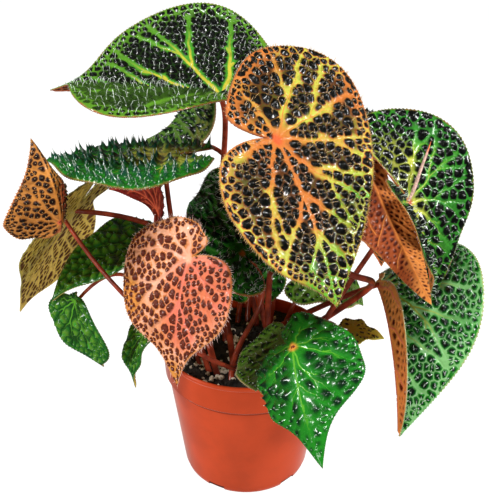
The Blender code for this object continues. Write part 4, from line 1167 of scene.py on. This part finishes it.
class BEGONIA_OT_bract(bpy.types.Operator):
    """Dry bract on the top right leaf, drawn as a tapered Bezier curve over the bullae"""

    bl_idname = "begonia.bract"
    bl_label = "Dry bract"

    def execute(self, context):
        leaf = next(leaf for leaf in LEAVES if leaf.name == "right_top")
        flat, heights, radii = zip(*BRACT)
        centres = blade_points(leaf, leaf.length * np.array(flat), np.array(heights))
        knots = [(centre, None, radius) for centre, radius in zip(centres, radii)]
        bract = draw_stem("dry_bract", knots, 1.0, 10, 3)
        points = np.array([tuple(vertex.co) for vertex in bract.data.vertices])
        away = np.linalg.norm(points - centres[-1] * MM, axis=1)
        paint(bract, "tip", np.clip(1.0 - away / (12.0 * MM), 0.0, 1.0))
        dress_piece(bract, bract_finish())
        return {"FINISHED"}


class BEGONIA_OT_blades(bpy.types.Operator):
    """Leaf blades with their bullae, veins, bristles and toothed margins"""

    bl_idname = "begonia.blades"
    bl_label = "Leaf blades"

    def execute(self, context):
        sizes = context.scene.begonia_leaf
        finishes = {kind: leaf_finish(kind) for kind in LOOKS}
        for leaf in LEAVES:
            build_blade(leaf, sizes.thickness / MM, sizes.tooth / MM, finishes[DRESS[leaf.name].look])
        return {"FINISHED"}


class BEGONIA_OT_stage(bpy.types.Operator):
    """White floor, soft lights and the camera of the photograph"""

    bl_idname = "begonia.stage"
    bl_label = "Stage"

    def execute(self, context):
        sizes = context.scene.begonia_stage
        deselect()
        bpy.ops.mesh.primitive_plane_add(size=14.0)
        floor = take_up("studio_floor")
        floor.data.materials.append(paper_finish())
        floor.visible_glossy = False
        bpy.ops.object.camera_add(location=[c * MM for c in CAMERA])
        camera = bpy.context.active_object
        camera.rotation_euler = (math.radians(90.0) - sizes.tilt, 0.0, 0.0)
        camera.data.sensor_width = 36.0
        camera.data.lens = sizes.focal
        camera.data.clip_start = 0.01
        context.scene.camera = camera
        for name, place, size, share in LIGHTS:
            bpy.ops.object.light_add(type="AREA", location=place)
            light = bpy.context.active_object
            light.name = name + "_light"
            light.data.shape = "DISK"
            light.data.size = size
            light.data.energy = share * sizes.key
            light.rotation_euler = (Vector(AIM) - Vector(place)).to_track_quat("-Z", "Y").to_euler()
        world = context.scene.world or bpy.data.worlds.new("studio")
        context.scene.world = world
        world.use_nodes = True
        surround = world.node_tree.nodes["Background"].inputs
        surround["Color"].default_value = WHITE
        surround["Strength"].default_value = sizes.sky
        context.scene.view_settings.view_transform = "Standard"
        return {"FINISHED"}


# Each group of settings with its operators, as the panel lists them
GROUPS = (("begonia_pot", PotSizes, ("begonia.pot",)), ("begonia_soil", SoilSizes, ("begonia.soil",)),
          ("begonia_stalk", StalkLooks, ("begonia.stalks", "begonia.bract")),
          ("begonia_leaf", LeafLooks, ("begonia.blades",)), ("begonia_stage", StageLooks, ("begonia.stage",)))


class BEGONIA_PT_panel(bpy.types.Panel):
    """Sizes, colours and steps of the potted begonia"""

    bl_idname = "BEGONIA_PT_panel"
    bl_label = "Potted begonia"
    bl_space_type = "VIEW_3D"
    bl_region_type = "UI"
    bl_category = "Begonia"

    def draw(self, context):
        for group, _, steps in GROUPS:
            box = self.layout.box()
            settings = getattr(context.scene, group)
            for name in settings.bl_rna.properties.keys():
                if name not in ("rna_type", "name"):
                    box.prop(settings, name)
            for step in steps:
                box.operator(step)


CLASSES = (*(kind for _, kind, _ in GROUPS), BEGONIA_OT_pot, BEGONIA_OT_soil, BEGONIA_OT_stalks,
           BEGONIA_OT_bract, BEGONIA_OT_blades, BEGONIA_OT_stage, BEGONIA_PT_panel)


def register():
    for item in CLASSES:
        bpy.utils.register_class(item)
    for name, kind, _ in GROUPS:
        setattr(bpy.types.Scene, name, PointerProperty(type=kind))


def unregister():
    for name, _, _ in GROUPS:
        delattr(bpy.types.Scene, name)
    for item in reversed(CLASSES):
        bpy.utils.unregister_class(item)


def main():
    register()
    bpy.ops.begonia.pot()
    bpy.ops.begonia.soil()
    bpy.ops.begonia.stalks()
    bpy.ops.begonia.bract()
    bpy.ops.begonia.blades()
    bpy.ops.begonia.stage()


if __name__ == "__main__":
    main()
